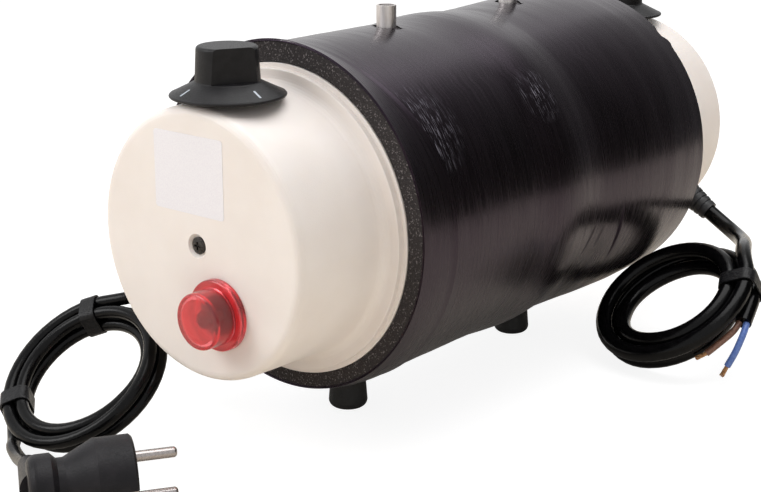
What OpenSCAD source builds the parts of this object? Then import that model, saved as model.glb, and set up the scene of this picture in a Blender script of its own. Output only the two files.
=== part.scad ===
// Electric storage water heater for a caravan, lying on two rubber feet.
// Units are millimetres. +Z is up, the tank's axis runs along Y and the front cap faces -Y.
// The origin is on the floor, under the middle of the heater without its cords.

/* [Tank] */
// Outside diameter of the inner tank
tank_d = 146; // [130:1:160]
// Length of the inner tank
tank_len = 190; // [180:1:200]
// Sheet thickness of the inner tank
tank_wall = 0.8; // [0.5:0.1:1.5]
// Corner radius of the tank's pressed ends
tank_corner = 12; // [8:1:14]

/* [Sleeve] */
// Length of the insulation sleeve
sleeve_len = 254; // [246:1:280]
// How far the sleeve sits ahead of the tank's middle
sleeve_ahead = 4.5; // [0:0.5:8]
// Thickness of the foam over the cap skirts
foam_t = 8.7; // [7:0.1:12]
// Thickness of the film skin
skin_t = 0.6; // [0.3:0.1:1]
// Height of the swelling between the pipes
mid_bulge = 3.2; // [0:0.1:5]
// Height of the swelling behind the rear pipe
rear_bulge = 2.6; // [0:0.1:4]
// Width of the tape round the front edge
tape_w = 25; // [15:1:40]
// Thickness of that tape
tape_t = 0.4; // [0.2:0.1:0.8]

/* [Pipes] */
// Outside diameter of the water pipes
pipe_d = 10; // [8:0.5:12]
// Wall of the water pipes
pipe_wall = 1; // [0.6:0.1:1.5]
// Cold inlet, ahead of the tank's middle
inlet_ahead = 55; // [45:1:65]
// Hot outlet, behind the tank's middle
outlet_behind = 50; // [40:1:65]
// Height of the stubs above the sleeve's end diameter
stub_h = 9.5; // [6:0.5:20]
// Gap between the inlet's dip end and the tank's bottom
dip_gap = 12; // [6:1:25]
// Height of the hot outlet's mouth below the tank's top
outlet_dip = 8; // [4:1:15]
// Diameter of the weld collar at the tank
collar_d = 13; // [12.5:0.5:15]
// Height of the weld collar
collar_h = 3; // [2:0.5:5]
// Room round a collar in the sleeve
pipe_room = 0.7; // [0.4:0.1:2]

/* [Caps] */
// Diameter of a cap's end face
cap_d = 127; // [120:1:134]
// Depth of a cap in front of its flange plane
cap_depth = 57; // [52:1:66]
// Wall of the caps
cap_wall = 2.2; // [1.6:0.1:3]
// Edge radius of the end face
cap_edge_r = 4.5; // [3.2:0.1:6]
// How much wider a cap is at its foot
cap_draft = 1.2; // [0.4:0.1:2]
// Fillet between a cap's wall and its flange
cap_fillet = 5; // [3:0.5:6]
// Height of the flange face above its plane
flange_h = 3.5; // [3:0.1:5]
// How far the flange face stops short of the skirt
lip_in = 2.2; // [1.8:0.1:3]
// Height of the rim outside the flange face
rim_h = 0.5; // [0.3:0.1:0.8]
// Wall of the skirt under the sleeve
skirt_wall = 2.2; // [1.6:0.1:3]
// How far a skirt laps over the tank's straight wall
skirt_lap = 6; // [3:1:12]
// Thread diameter of the centre screws
screw_d = 4; // [3:0.5:5]
// Head diameter of the centre screws
screw_head_d = 8; // [7:0.5:9]
// Width across flats of the pillars behind the caps
pillar_af = 8; // [7:0.5:10]

/* [Knobs] */
// Brim diameter of a knob
knob_d = 53; // [44:1:56]
// Thickness of the brim's edge
knob_edge = 1.6; // [1.2:0.1:3]
// Diameter of the body where it meets the brim
knob_body_d = 29.6; // [26:0.2:32]
// How much narrower the body is at its top
knob_taper = 1.6; // [0:0.1:3]
// Height of a knob
knob_h = 23; // [20:0.1:28]
// Height of the cone between brim and body
knob_cone_h = 5.4; // [3:0.1:7]
// Width of the flat on the body
knob_flat_w = 19; // [16:0.5:20]
// Round of the body's top edge
knob_round = 1.6; // [0.8:0.1:2.5]
// Direction that the flat faces at rest, from +X
knob_flat_turn = -28; // [-180:1:180]
// Knob axis in front of the flange plane
knob_ahead = 35; // [32:0.5:37]
// Gap under the brim
knob_gap = 0.6; // [0.4:0.1:3]
// Diameter of the thermostat shafts
shaft_d = 6; // [5:0.5:6]
// Thread diameter of the thermostat bushes
bush_d = 10; // [9:0.5:11]
// Width across flats of the bush nuts
bush_nut_af = 14; // [13:0.5:15]
// Thickness of the bush nuts
bush_nut_t = 2.4; // [2:0.1:3]

/* [Lamp] */
// Lamp axis to the right of the cap's axis
lamp_right = 13.6; // [10:0.1:20]
// Lamp axis below the cap's axis
lamp_below = 29.2; // [26:0.1:36]
// Diameter of the lens body
lens_d = 26; // [24:0.5:28]
// Diameter of the lens base
lens_base_d = 33; // [30:0.5:36]
// Thickness of the lens base
lens_base_t = 3.6; // [3:0.1:5]
// How far the lens stands out
lens_h = 15; // [12:0.5:20]
// Wall of the lens
lens_wall = 1.6; // [1.2:0.1:2.2]
// Diameter of the holder's threaded neck
neck_d = 20; // [16:0.5:21]

/* [Feet] */
// Front foot, ahead of the tank's middle
front_foot_ahead = 86; // [76:1:90]
// Rear foot, behind the tank's middle
rear_foot_behind = 60; // [50:1:80]
// Floor below the sleeve's end diameter
foot_drop = 24; // [21:0.5:30]
// Diameter of a foot at its bottom
foot_d = 20; // [18:0.5:24]
// Diameter of a foot at its top
foot_top_d = 18; // [17:0.5:20]
// Height of a foot
foot_h = 17; // [15:0.5:18]
// Rubber under a foot's hollow
foot_floor = 8; // [7:0.5:9]
// Thread diameter of the foot studs
stud_d = 6; // [5:0.5:6]

/* [Heating] */
// Diameter of the heating rods
rod_d = 8; // [6:0.5:9]
// Distance between a rod's two legs
rod_gap = 32; // [30:1:36]
// Length of a rod inside the tank
rod_len = 76; // [50:1:80]
// Diameter of the sensor pockets
pocket_d = 9; // [8:0.5:10]
// Length of the sensor pockets in the tank
pocket_len = 70; // [50:1:80]

/* [Cords] */
// Diameter of the mains lead
mains_d = 6.5; // [6:0.1:7]
// Diameter of the low-voltage lead
low_d = 9; // [8:0.1:9.2]
// Diameter of a bare lead's cores
core_d = 3.6; // [3:0.1:3.8]
// Glands, below the horizontal
gland_angle = 32; // [31:0.5:33]
// Glands, in front of the flange plane
gland_ahead = 28; // [26:0.5:30]
// Length of a gland outside the cap
gland_len = 21; // [20:0.5:22]

/* [Coils] */
// Outermost centreline radius of the mains coil
mains_coil_r = 43; // [42:0.1:44]
// Distance between strands of the mains coil
mains_pitch = 7; // [7:0.1:7.6]
// Turns of the mains coil
mains_turns = 3.317; // [3.31:0.001:3.322]
// Outermost centreline radius of the low-voltage coil
low_coil_r = 45; // [44:0.1:46]
// Distance between strands of the low-voltage coil
low_pitch = 9.6; // [9.6:0.1:10]
// Turns of the low-voltage coil
low_turns = 3.1; // [3.08:0.001:3.12]

/* [Plug] */
// Diameter of the plug's front
plug_d = 38; // [36:0.5:39]
// Length of the plug's body
plug_len = 45; // [44:0.5:48]
// Diameter of the plug's waist
plug_waist_d = 25; // [22:0.5:27]
// Diameter of the plug's back
plug_back_d = 30; // [28:0.5:32]
// Diameter of the plug's pins
pin_d = 4.8; // [4:0.1:5]
// Length of the plug's pins
pin_len = 19; // [17:0.5:20]
// Distance between the plug's pins
pin_gap = 19; // [17:0.5:20]

/* [Hidden] */

// Clearances: a running fit, a fixed fit, a seat between parts, a loose pass and the sleeve's seat.
run_gap = 0.05;
fix_gap = 0.05;
seat_gap = 0.1;
pass_gap = 0.2;
sleeve_gap = 0.3;
past = 1;

// Radii of the layers round the tank, from the inside out.
tank_r = tank_d / 2;
skirt_in_r = tank_r + pass_gap;
skirt_r = skirt_in_r + skirt_wall;
foam_in_r = skirt_r + sleeve_gap;
sleeve_r = foam_in_r + foam_t + skin_t;

// Places along the tank's axis, measured from the tank's middle.
flange_y = sleeve_len / 2 + sleeve_ahead;
sleeve_front = -flange_y;
sleeve_back = sleeve_front + sleeve_len;
skirt_len = flange_y - tank_len / 2 + tank_corner + skirt_lap;
plate_h = tank_len / 2 - flange_y;
cap_reach = max(cap_depth, knob_ahead + knob_d / 2);

// The tank's middle in the part's frame.
axis_z = sleeve_r + foot_drop;
tank_y = (cap_depth + lens_h - cap_reach) / 2;

// Swellings of the sleeve: crest and reach of each. The one between the pipes ends in a steep flank.
mid_at = (outlet_behind - inlet_ahead) / 2 - 6;
mid_front_reach = 40;
mid_back_reach = 15;
rear_at = (outlet_behind + sleeve_back) / 2;
rear_reach = 46;
sleeve_steps = 64;
pipe_hole_d = collar_d + 2 * pipe_room;
stud_hole_d = stud_d + 3;
stud_slot_w = stud_d + 1;

// Cap wall: radius at the foot, and the outer radius at a height above the flange plane.
cap_r = cap_d / 2;
cap_base_r = cap_r + cap_draft;
wall_low = flange_h + cap_fillet;
wall_high = cap_depth - cap_edge_r;
function cap_wall_r(h) = cap_r + cap_draft * (wall_high - h) / (wall_high - wall_low);

// Screw seat in the end face, and the boss and pillar behind it.
screw_seat = 1.8;
screw_boss_t = 5;
screw_boss_d = 16;
screw_len = 16;
screw_dome = 0.2;
screw_slot_w = 1;
screw_slot_deep = 1.1;
screw_room = 0.8;
recess_d = screw_head_d + screw_room;
recess_mouth_d = recess_d + 2.6;

// Thermostat seat: a flat pad on the cap's crown, level with its nut.
pad_d = 19;
pad_t = 6;
pad_sink = 0.3;
pad_z = cap_wall_r(knob_ahead) - pad_sink;
pad_low = pad_z - pad_t;
bush_over = 0.6;
bush_top = pad_z + bush_nut_t + bush_over;
bush_root = 2;
body_w = 34;
body_l = 28;
body_h = 22;
body_corner = 4;
blade_w = 6.3;
blade_t = 0.8;
blade_h = 8;
shaft_in = 8;
shaft_low = pad_low - shaft_in;
shaft_room = 0.5;

// Knob: underside, recess over the bush nut and shaft bore.
knob_z = cap_base_r + knob_gap;
knob_nut_room = 0.6;
knob_recess_d = bush_nut_af / cos(30) + 2 * knob_nut_room;
knob_recess_top = bush_top + knob_nut_room;
knob_top_t = 8;
shaft_top = knob_z + knob_h - knob_top_t;
knob_fillet = 0.6;
shaft_flat = shaft_d / 6;

// Parts on the tank's end plate, in the cap's own right and up directions.
rod_below = 25;
pocket_right = 22;
pocket_up = 15;
cutout_left = 24;
cutout_up = 18;
block_below = 50;
rod_bush_d = rod_d + 6;
rod_bush_flange_d = rod_bush_d + 6;
rod_nut_af = rod_bush_d + 3;
rod_nut_t = 5;
rod_bush_over = 3;
rod_out = 14;
rod_pin_out = 22;
gasket_t = 1;
rod_flange_t = 2;
pocket_wall = 0.8;
pocket_out = 4;
bulb_d = pocket_d - 2 * pocket_wall - 2 * pass_gap;
bulb_out = 5.5;
capillary_d = 1.6;
cutout_d = 17;
cutout_back_d = 14;
cutout_h = 11;
cutout_step = 6;
cutout_blade_gap = 8;
way_w = 11;
block_h = 13;
block_l = 14;
well_d = 5;
well_deep = 6;
wire_d = 4;
wire_up = 5;

// Lamp: threaded neck, ring nut and bulb.
neck_back = 18;
neck_front = 2;
lamp_nut_t = 4;
lamp_nut_af = neck_d + 6;
lamp_bulb_d = 9;
lamp_bulb_cap_d = 8;
bulb_seat = 4;
bulb_room = 1;
lens_base_edge = 1;
lens_edge = 1.2;
lens_dome = 0.4;
lens_draft = 0.3;

// Feet: the stud's blind hole, the nut and the round of the foot's edges.
stud_hole_floor = foot_floor / 2;
foot_nut_af = stud_d + 4;
foot_nut_t = 5;
foot_nut_room = 0.4;
foot_edge_r = 3.5;
foot_lip = 0.8;

// Gland: threaded barrel, flange and tapered sleeve along the cord.
gland_barrel_d = 14;
gland_root_d = gland_barrel_d + 1.2;
gland_flange_d = gland_root_d + 4.8;
gland_flange_t = 3;
gland_flange_edge = 0.6;
gland_tip_wall = 1.3;
gland_grooves = 4;
gland_groove_w = 1.4;
gland_groove_deep = 0.6;
gland_end = 2;
gland_nut_af = 18;
gland_nut_t = 3.5;
gland_seat = cap_wall_r(gland_ahead - gland_flange_d / 2) + fix_gap;
gland_tip = gland_seat + gland_len;
gland_nut_top = sqrt(pow(cap_wall_r(gland_ahead + gland_nut_af / 2) - cap_wall, 2)
    - pow(gland_nut_af / cos(30) / 2, 2)) - pass_gap;

// Coils: where each lies, how it leans and where its first turn starts.
mains_place = [-73, -189, 28];
mains_yaw = 0;
mains_tilt = 38;
mains_start = 116;
low_place = [95, 89, 27.2];
low_yaw = -22;
low_tilt = 35;
low_start = 58;
loop_rings = 24;
coil_sides = 6;
lead_sides = 10;
core_sides = 8;
tie_t = 1;
tie_w = 8;
tie_gap = 0.35;
mains_tie_angles = [125, 221];
low_tie_angle = 40;

// Plug: its front's centre, its heading, and the end of the cord sleeve that leaves its back sideways.
plug_face = [12, -236, plug_d / 2 + 0.3];
plug_turn = 57;
plug_edge = 1;
plug_rim_l = 16.5;
plug_shoulder_l = 13;
plug_back_l = 10;
plug_back_round = 4;
plug_boot_end = [-49.5, -245.5, 10.3];
plug_boot_start_d = 17;
plug_boot_end_d = mains_d + 3;
boot_start = plug_face - (plug_len - plug_back_l / 2) * [cos(plug_turn), sin(plug_turn), 0];
pin_root = 10;
pin_tip_r = 1.6;
clip_w = 4;
clip_l = 15;
clip_t = 1.2;
clip_deep = 1.6;
clip_low = plug_d / 2 - clip_deep - clip_t;
clip_back = 0.5;

// Free stretches of cord, by hand, between the ends that other pieces give.
mains_lead_mid = [[-77, -155.5, 61.6], [-81.3, -158.1, 60.2]];
mains_tail_mid = [[-90, -222.9, 3.5], [-83.5, -228.6, 3.4], [-71.5, -234.8, 4.1], [-59.5, -240.6, 7.1]];
low_lead_mid = [
    [80.5, 164.6, 58.6], [89, 160, 55.8], [97, 151, 55.5], [105, 139.5, 57.5],
    [113, 127.5, 60.5], [119, 117.5, 61.8]
];
blue_mid = [[143, 73.5, 27.5], [141.5, 69, 19], [138.5, 66.5, 11]];
blue_tip = [136, 65.5, 5];
brown_mid = [[137.5, 72.5, 28.3], [133, 67, 22.5], [128.5, 61.5, 17.2]];
brown_tip = [123.6, 59, 14];
copper_d = 2.4;
copper_in = 0.6;
core_gap = 0.3;

$fn = 64;
round_fn = 128;

// Points on an arc in a plane.
function arc(centre, r, from, to, steps) =
    [for (i = [0:steps]) let (a = from + (to - from) * i / steps) centre + r * [cos(a), sin(a)]];

function reverse(list) = [for (i = [len(list) - 1:-1:0]) list[i]];

function unit(v) = v / norm(v);

// Corner points of a rectangle with round corners, about its middle.
function round_box(w, l, r) = concat(
    arc([w / 2 - r, l / 2 - r], r, 0, 90, 4), arc([r - w / 2, l / 2 - r], r, 90, 180, 4),
    arc([r - w / 2, r - l / 2], r, 180, 270, 4), arc([w / 2 - r, r - l / 2], r, 270, 360, 4));

// A smooth hump of height 1 between -1 and 1.
function hump(x) = abs(x) < 1 ? (1 + cos(180 * x)) / 2 : 0;

// Outer radius of the sleeve at a distance from the tank's middle.
function sleeve_r_at(y) =
    sleeve_r + mid_bulge * hump((y - mid_at) / (y < mid_at ? mid_front_reach : mid_back_reach))
    + rear_bulge * hump((y - rear_at) / rear_reach);

// The sleeve's outline, from front to back, with its radius reduced by a depth.
function sleeve_line(depth) = [for (i = [0:sleeve_steps])
    let (y = sleeve_front + sleeve_len * i / sleeve_steps) [sleeve_r_at(y) - depth, -y]];

// Face edge, wall and foot fillet of a cap, moved inwards by a depth.
function cap_line(depth) = concat(
    arc([cap_r - cap_edge_r, cap_depth - cap_edge_r], cap_edge_r - depth, 90, 0, 6),
    arc([cap_base_r + cap_fillet, flange_h + cap_fillet], cap_fillet + depth, 180, 270, 6));

// Right, up and normal directions of a coil that lies turned by yaw and leans by tilt.
function coil_axes(yaw, tilt) = [
    [cos(yaw), sin(yaw), 0],
    [-sin(yaw) * cos(tilt), cos(yaw) * cos(tilt), sin(tilt)],
    [sin(yaw) * sin(tilt), -cos(yaw) * sin(tilt), cos(tilt)]
];

// A coil winds inwards in its upper layer, drops a layer in the half turn where it reverses,
// and winds outwards again in its lower layer.
function coil_radius(r, pitch, turns, u) = r - pitch * min(u, turns - u);
function coil_height(pitch, turns, u) =
    let (s = max(0, min(1, (u - turns / 2) * 2 + 0.5))) pitch * (1 + cos(180 * s)) / 2;
function coil_point(place, axes, r, pitch, turns, start, way, u) =
    let (a = start + way * 360 * u, radius = coil_radius(r, pitch, turns, u))
    place + radius * (cos(a) * axes[0] + sin(a) * axes[1]) + coil_height(pitch, turns, u) * axes[2];
function coil_line(place, axes, r, pitch, turns, start, way, d) =
    let (steps = ceil(turns * loop_rings),
        line = [for (i = [0:steps])
            coil_point(place, axes, r, pitch, turns, start, way, turns * i / steps)])
    concat([line[0] + d * unit(line[0] - line[1])], line,
        [line[steps] + d * unit(line[steps] - line[steps - 1])]);

// Least distance between strands of a coil that are over a third of a turn apart.
function coil_gap(line, d) = min([for (i = [0:len(line) - 1])
    for (j = [i + 8:1:len(line) - 1]) norm(line[i] - line[j])]) - d;

mains_axes = coil_axes(mains_yaw, mains_tilt);
mains_line = coil_line(mains_place, mains_axes, mains_coil_r, mains_pitch, mains_turns,
    mains_start, 1, mains_d);
low_axes = coil_axes(low_yaw, low_tilt);
low_line = coil_line(low_place, low_axes, low_coil_r, low_pitch, low_turns, low_start, -1, low_d);
echo(mains_coil_gap = coil_gap(mains_line, mains_d));
echo(low_voltage_coil_gap = coil_gap(low_line, low_d));

// Tip of a gland in the part's frame, for one end of the heater.
function gland_point(rear) = let (side = rear ? 1 : -1)
    [side * gland_tip * cos(gland_angle), tank_y + side * (flange_y + gland_ahead),
        axis_z - gland_tip * sin(gland_angle)];
mains_lead_line = concat([gland_point(false)], mains_lead_mid, [mains_line[0]]);
mains_tail_line = concat([mains_line[len(mains_line) - 1]], mains_tail_mid, [plug_boot_end]);
low_lead_line = concat([gland_point(true)], low_lead_mid, [low_line[0]]);

// The two cores leave the low-voltage lead's end side by side.
low_end = low_line[len(low_line) - 1];
core_side = (core_d + core_gap) / 2 * unit([0.97, 0.25, 0]);
blue_line = concat([low_end + core_side], blue_mid);
brown_line = concat([low_end - core_side], brown_mid);

// Frame of the tank's middle.
module at_tank() translate([0, tank_y, axis_z]) children();

// Frame of one end: the flange plane is at zero and the cap's outward direction is -Y.
module at_end(rear) at_tank() rotate([0, 0, rear ? 180 : 0]) translate([0, -flange_y, 0]) children();

// Both ends.
module at_ends() for (rear = [false, true]) at_end(rear) children();

// A profile of radius and outward height, turned about an end's axis.
module turned() rotate([90, 0, 0]) rotate_extrude($fn = round_fn) children();

// A bar along an end's axis, from one height to another.
module bar(d, from, to) translate([0, -from, 0]) rotate([90, 0, 0]) cylinder(d = d, h = to - from);

module hex_bar(af, from, to)
    translate([0, -from, 0]) rotate([90, 0, 0]) cylinder(d = af / cos(30), h = to - from, $fn = 6);

// Places the children with their up direction along the line from a to b.
module along(a, b)
    translate(a) rotate([0, acos((b - a)[2] / norm(b - a)), atan2((b - a)[1], (b - a)[0])]) children();

// A round tube swept along a line; its sides are turned by a reference direction.
module cord(line, d, sides, reference) {
    rings = len(line);
    last = (rings - 1) * sides;
    points = [for (i = [0:rings - 1])
        let (t = unit(line[min(i + 1, rings - 1)] - line[max(i - 1, 0)]),
            a = unit(cross(reference, t)), b = cross(t, a))
        for (k = [0:sides - 1]) let (turn = 360 * k / sides)
            line[i] + d / 2 * (cos(turn) * a + sin(turn) * b)];
    walls = [for (i = [0:rings - 2]) for (k = [0:sides - 1])
        let (p = i * sides + k, q = i * sides + (k + 1) % sides)
        for (face = [[p, p + sides, q + sides], [p, q + sides, q]]) face];
    start_face = [for (k = [1:sides - 2]) [0, k, k + 1]];
    end_face = [for (k = [1:sides - 2]) [last, last + k + 1, last + k]];
    polyhedron(points, concat(walls, start_face, end_face), convexity = 10);
}

// A flat strip bent round the strands of a coil at one angle.
module coil_tie(place, axes, r, pitch, turns, start, way, d, angle) {
    first = ((way * (angle - start)) % 360 + 360) % 360 / 360;
    radii = [for (u = [first:1:turns]) coil_radius(r, pitch, turns, u)];
    inner_w = max(radii) - min(radii) + d + 2 * tie_gap;
    inner_l = pitch + d + 2 * tie_gap;
    out = cos(angle) * axes[0] + sin(angle) * axes[1];
    up = axes[2];
    side = cross(out, up);
    middle = place + out * (max(radii) + min(radii)) / 2 + up * pitch / 2;
    multmatrix([
        [out[0], up[0], side[0], middle[0]],
        [out[1], up[1], side[1], middle[1]],
        [out[2], up[2], side[2], middle[2]],
        [0, 0, 0, 1]
    ])
        translate([0, 0, -tie_w / 2]) linear_extrude(tie_w) difference() {
            polygon(round_box(inner_w + 2 * tie_t, inner_l + 2 * tie_t, d / 3 + tie_t));
            polygon(round_box(inner_w, inner_l, d / 3));
        }
}

// Stainless steel shell with pressed flat ends, and its holes for pipes, rods and pockets.
module inner_tank() color("silver") difference() {
    at_tank() rotate([90, 0, 0]) translate([0, 0, -tank_len / 2]) rotate_extrude($fn = round_fn)
        polygon(concat(
            [[0, 0]], arc([tank_r - tank_corner, tank_corner], tank_corner, -90, 0, 6),
            arc([tank_r - tank_corner, tank_len - tank_corner], tank_corner, 0, 90, 6), [[0, tank_len]],
            [[0, tank_len - tank_wall]],
            arc([tank_r - tank_corner, tank_len - tank_corner], tank_corner - tank_wall, 90, 0, 6),
            arc([tank_r - tank_corner, tank_corner], tank_corner - tank_wall, 0, -90, 6),
            [[0, tank_wall]]));
    at_tank() for (y = [-inlet_ahead, outlet_behind])
        translate([0, y, 0]) cylinder(d = pipe_d + 2 * fix_gap, h = tank_r + past);
    at_ends() {
        for (side = [-1, 1]) translate([side * rod_gap / 2, 0, -rod_below])
            bar(rod_bush_d + 2 * fix_gap, plate_h - tank_wall - past, plate_h + past);
        translate([pocket_right, 0, pocket_up])
            bar(pocket_d + 2 * fix_gap, plate_h - tank_wall - past, plate_h + past);
    }
}

// A water pipe through the tank's top with its weld collar, open at both ends.
module water_pipe(y, low_end) color("gainsboro") at_tank() translate([0, y, 0]) difference() {
    union() {
        translate([0, 0, low_end]) cylinder(d = pipe_d, h = sleeve_r + stub_h - low_end);
        translate([0, 0, tank_r + fix_gap]) cylinder(d = collar_d, h = collar_h);
    }
    translate([0, 0, low_end - past])
        cylinder(d = pipe_d - 2 * pipe_wall, h = sleeve_r + stub_h - low_end + 2 * past);
}
module cold_inlet_pipe() water_pipe(-inlet_ahead, dip_gap + tank_wall - tank_r);
module hot_outlet_pipe() water_pipe(outlet_behind, tank_r - outlet_dip);

// Holes through the sleeve for the pipes and the foot studs.
module sleeve_holes() at_tank() {
    for (y = [-inlet_ahead, outlet_behind])
        translate([0, y, 0]) cylinder(d = pipe_hole_d, h = 2 * sleeve_r);
    for (y = [-front_foot_ahead, rear_foot_behind])
        translate([0, y, -2 * sleeve_r]) cylinder(d = stud_hole_d, h = 2 * sleeve_r);
}

// Foam sleeve: it hugs the tank in the middle and both cap skirts at its ends.
module insulation_foam() color("dimgray") difference() {
    at_tank() turned() polygon(concat(sleeve_line(skin_t + seat_gap), [
        [foam_in_r, -sleeve_back], [foam_in_r, skirt_len - flange_y + sleeve_gap],
        [tank_r + sleeve_gap, skirt_len - flange_y + sleeve_gap],
        [tank_r + sleeve_gap, flange_y - skirt_len - sleeve_gap],
        [foam_in_r, flange_y - skirt_len - sleeve_gap], [foam_in_r, -sleeve_front]]));
    sleeve_holes();
}

// Film skin, shrunk over the swellings of the foam.
module insulation_skin() color("black") difference() {
    at_tank() turned() polygon(concat(sleeve_line(0), reverse(sleeve_line(skin_t))));
    sleeve_holes();
}

// Tape that closes the film's front edge.
module front_edge_tape() color("black") at_end(false) turned()
    translate([sleeve_r + fix_gap, -tape_w]) square([tape_t, tape_w]);

// Moulded end cap: stepped flange, skirt under the sleeve with a slot for a foot stud,
// thermostat pad and screw boss.
module end_cap(rear) color("linen") at_end(rear) difference() {
    union() {
        turned() polygon(concat(
            [[0, cap_depth]], cap_line(0),
            arc([skirt_r - lip_in - rim_h, flange_h - rim_h], rim_h, 90, 0, 3),
            [[skirt_r - lip_in, rim_h], [skirt_r - rim_h / 2, rim_h], [skirt_r, rim_h / 2]],
            [[skirt_r, -skirt_len], [skirt_in_r, -skirt_len], [skirt_in_r, rim_h - cap_wall]],
            [[skirt_r - lip_in - cap_wall, flange_h - cap_wall]],
            reverse(cap_line(cap_wall)), [[0, cap_depth - cap_wall]]));
        bar(screw_boss_d, cap_depth - screw_boss_t, cap_depth - cap_wall / 2);
        translate([0, -knob_ahead, pad_low]) cylinder(d = pad_d, h = pad_t);
    }
    bar(screw_d + 2 * pass_gap, cap_depth - screw_boss_t - past, cap_depth + past);
    turned() polygon([
        [0, cap_depth - screw_seat], [recess_d / 2, cap_depth - screw_seat],
        [recess_mouth_d / 2, cap_depth], [recess_mouth_d / 2, cap_depth + past], [0, cap_depth + past]]);
    translate([0, -knob_ahead, pad_low - past])
        cylinder(d = bush_d + 2 * seat_gap, h = pad_t + 2 * past);
    translate([0, -knob_ahead, pad_z]) cylinder(d = pad_d, h = cap_wall);
    gland_frame() cylinder(d = gland_barrel_d + 2 * seat_gap, h = gland_tip);
    translate([-stud_slot_w / 2, flange_y - front_foot_ahead - stud_slot_w / 2, -2 * skirt_r])
        cube([stud_slot_w, skirt_len, 2 * skirt_r]);
    if (!rear) translate([lamp_right, 0, -lamp_below])
        bar(neck_d + 2 * seat_gap, cap_depth - cap_wall - past, cap_depth + past);
}
module front_cap() end_cap(false);
module rear_cap() end_cap(true);

// Hexagon pillars from the tank's end plates to the caps' screw bosses.
module cap_pillars() color("goldenrod") at_ends() difference() {
    hex_bar(pillar_af, plate_h + fix_gap, cap_depth - screw_boss_t - fix_gap);
    bar(screw_d + 2 * fix_gap, cap_depth - screw_boss_t - screw_len, cap_depth);
}

// Centre screws with a domed head and a cross slot.
module cap_screws() color("dimgray") at_ends() difference() {
    turned() polygon(concat(
        [[0, cap_depth - screw_len], [screw_d / 2, cap_depth - screw_len]],
        [[screw_d / 2, cap_depth - screw_seat + fix_gap]],
        [[screw_head_d / 2, cap_depth - screw_seat + fix_gap]],
        [[screw_head_d / 2, cap_depth - screw_seat / 2], [screw_head_d / 4, cap_depth - screw_dome]],
        [[0, cap_depth - screw_dome / 2]]));
    for (turn = [0, 90]) rotate([0, turn, 0])
        translate([-screw_head_d / 4, -cap_depth, -screw_slot_w / 2])
            cube([screw_head_d / 2, screw_slot_deep, screw_slot_w]);
}

// Frame of the lamp's axis on the front cap.
module at_lamp() at_end(false) translate([lamp_right, 0, -lamp_below]) children();

// Hollow lens with a wide base and a slightly domed front.
module lamp_lens() color("red") at_lamp() turned() {
    top = cap_depth + lens_h;
    base_top = cap_depth + lens_base_t;
    in_r = lens_d / 2 - lens_wall;
    polygon(concat(
        [[neck_d / 2 + seat_gap, cap_depth + fix_gap], [lens_base_d / 2, cap_depth + fix_gap]],
        arc([lens_base_d / 2 - lens_base_edge, base_top - lens_base_edge], lens_base_edge, 0, 90, 4),
        [[lens_d / 2 + lens_draft, base_top]],
        arc([lens_d / 2 - lens_edge, top - lens_dome - lens_edge], lens_edge, 0, 90, 4),
        [[0, top], [0, top - lens_wall], [in_r - lens_edge, top - lens_wall - lens_dome]],
        [[in_r, top - lens_wall - lens_dome - lens_edge], [in_r, base_top]],
        [[neck_d / 2 + seat_gap, base_top - lens_base_edge]]));
}

// Threaded lamp holder through the cap's face, with two contact blades at its back.
module lamp_holder() color("ivory") at_lamp() difference() {
    union() {
        bar(neck_d, cap_depth - neck_back, cap_depth + neck_front);
        for (side = [-1, 1]) translate([side * neck_d / 4 - blade_t / 2, neck_back - cap_depth, -blade_w / 2])
            cube([blade_t, blade_h, blade_w]);
    }
    bar(lamp_bulb_cap_d + 2 * fix_gap, cap_depth - bulb_seat, cap_depth + neck_front + past);
}
module lamp_bulb() color("dimgray") at_lamp() turned() polygon(concat(
    [[0, cap_depth - bulb_seat + fix_gap], [lamp_bulb_cap_d / 2, cap_depth - bulb_seat + fix_gap]],
    [[lamp_bulb_cap_d / 2, cap_depth + neck_front + bulb_room]],
    arc([0, cap_depth + lens_h - lens_wall - bulb_room - lamp_bulb_d / 2], lamp_bulb_d / 2, 0, 90, 6)));
module lamp_nut() color("ivory") at_lamp() difference() {
    hex_bar(lamp_nut_af, cap_depth - cap_wall - lamp_nut_t - fix_gap, cap_depth - cap_wall - fix_gap);
    bar(neck_d + 2 * fix_gap, cap_depth - cap_wall - lamp_nut_t - past, cap_depth);
}

// Frame of a knob's axis, at the height of the cap's axis.
module at_knob(rear) at_end(rear) translate([0, -knob_ahead, 0]) children();

// Thermostat: switch body with contact blades below and a bored threaded bush on top.
module thermostat(rear) color("gainsboro") at_knob(rear) difference() {
    union() {
        translate([0, 0, pad_low - body_h]) linear_extrude(body_h - fix_gap)
            polygon(round_box(body_w, body_l, body_corner));
        translate([0, 0, pad_low - bush_root]) cylinder(d = bush_d, h = bush_top - pad_low + bush_root);
        for (i = [-1:1]) translate([i * body_w / 3 - blade_w / 2, -blade_t / 2, pad_low - body_h - blade_h])
            cube([blade_w, blade_t, blade_h + past]);
    }
    translate([0, 0, shaft_low - shaft_room])
        cylinder(d = shaft_d + 2 * run_gap, h = bush_top - shaft_low + shaft_room + past);
}
module front_thermostat() thermostat(false);
module rear_thermostat() thermostat(true);

module thermostat_nuts() color("silver") for (rear = [false, true]) at_knob(rear)
    translate([0, 0, pad_z + fix_gap]) difference() {
        cylinder(d = bush_nut_af / cos(30), h = bush_nut_t, $fn = 6);
        translate([0, 0, -past]) cylinder(d = bush_d + 2 * fix_gap, h = bush_nut_t + 2 * past);
    }

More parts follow.
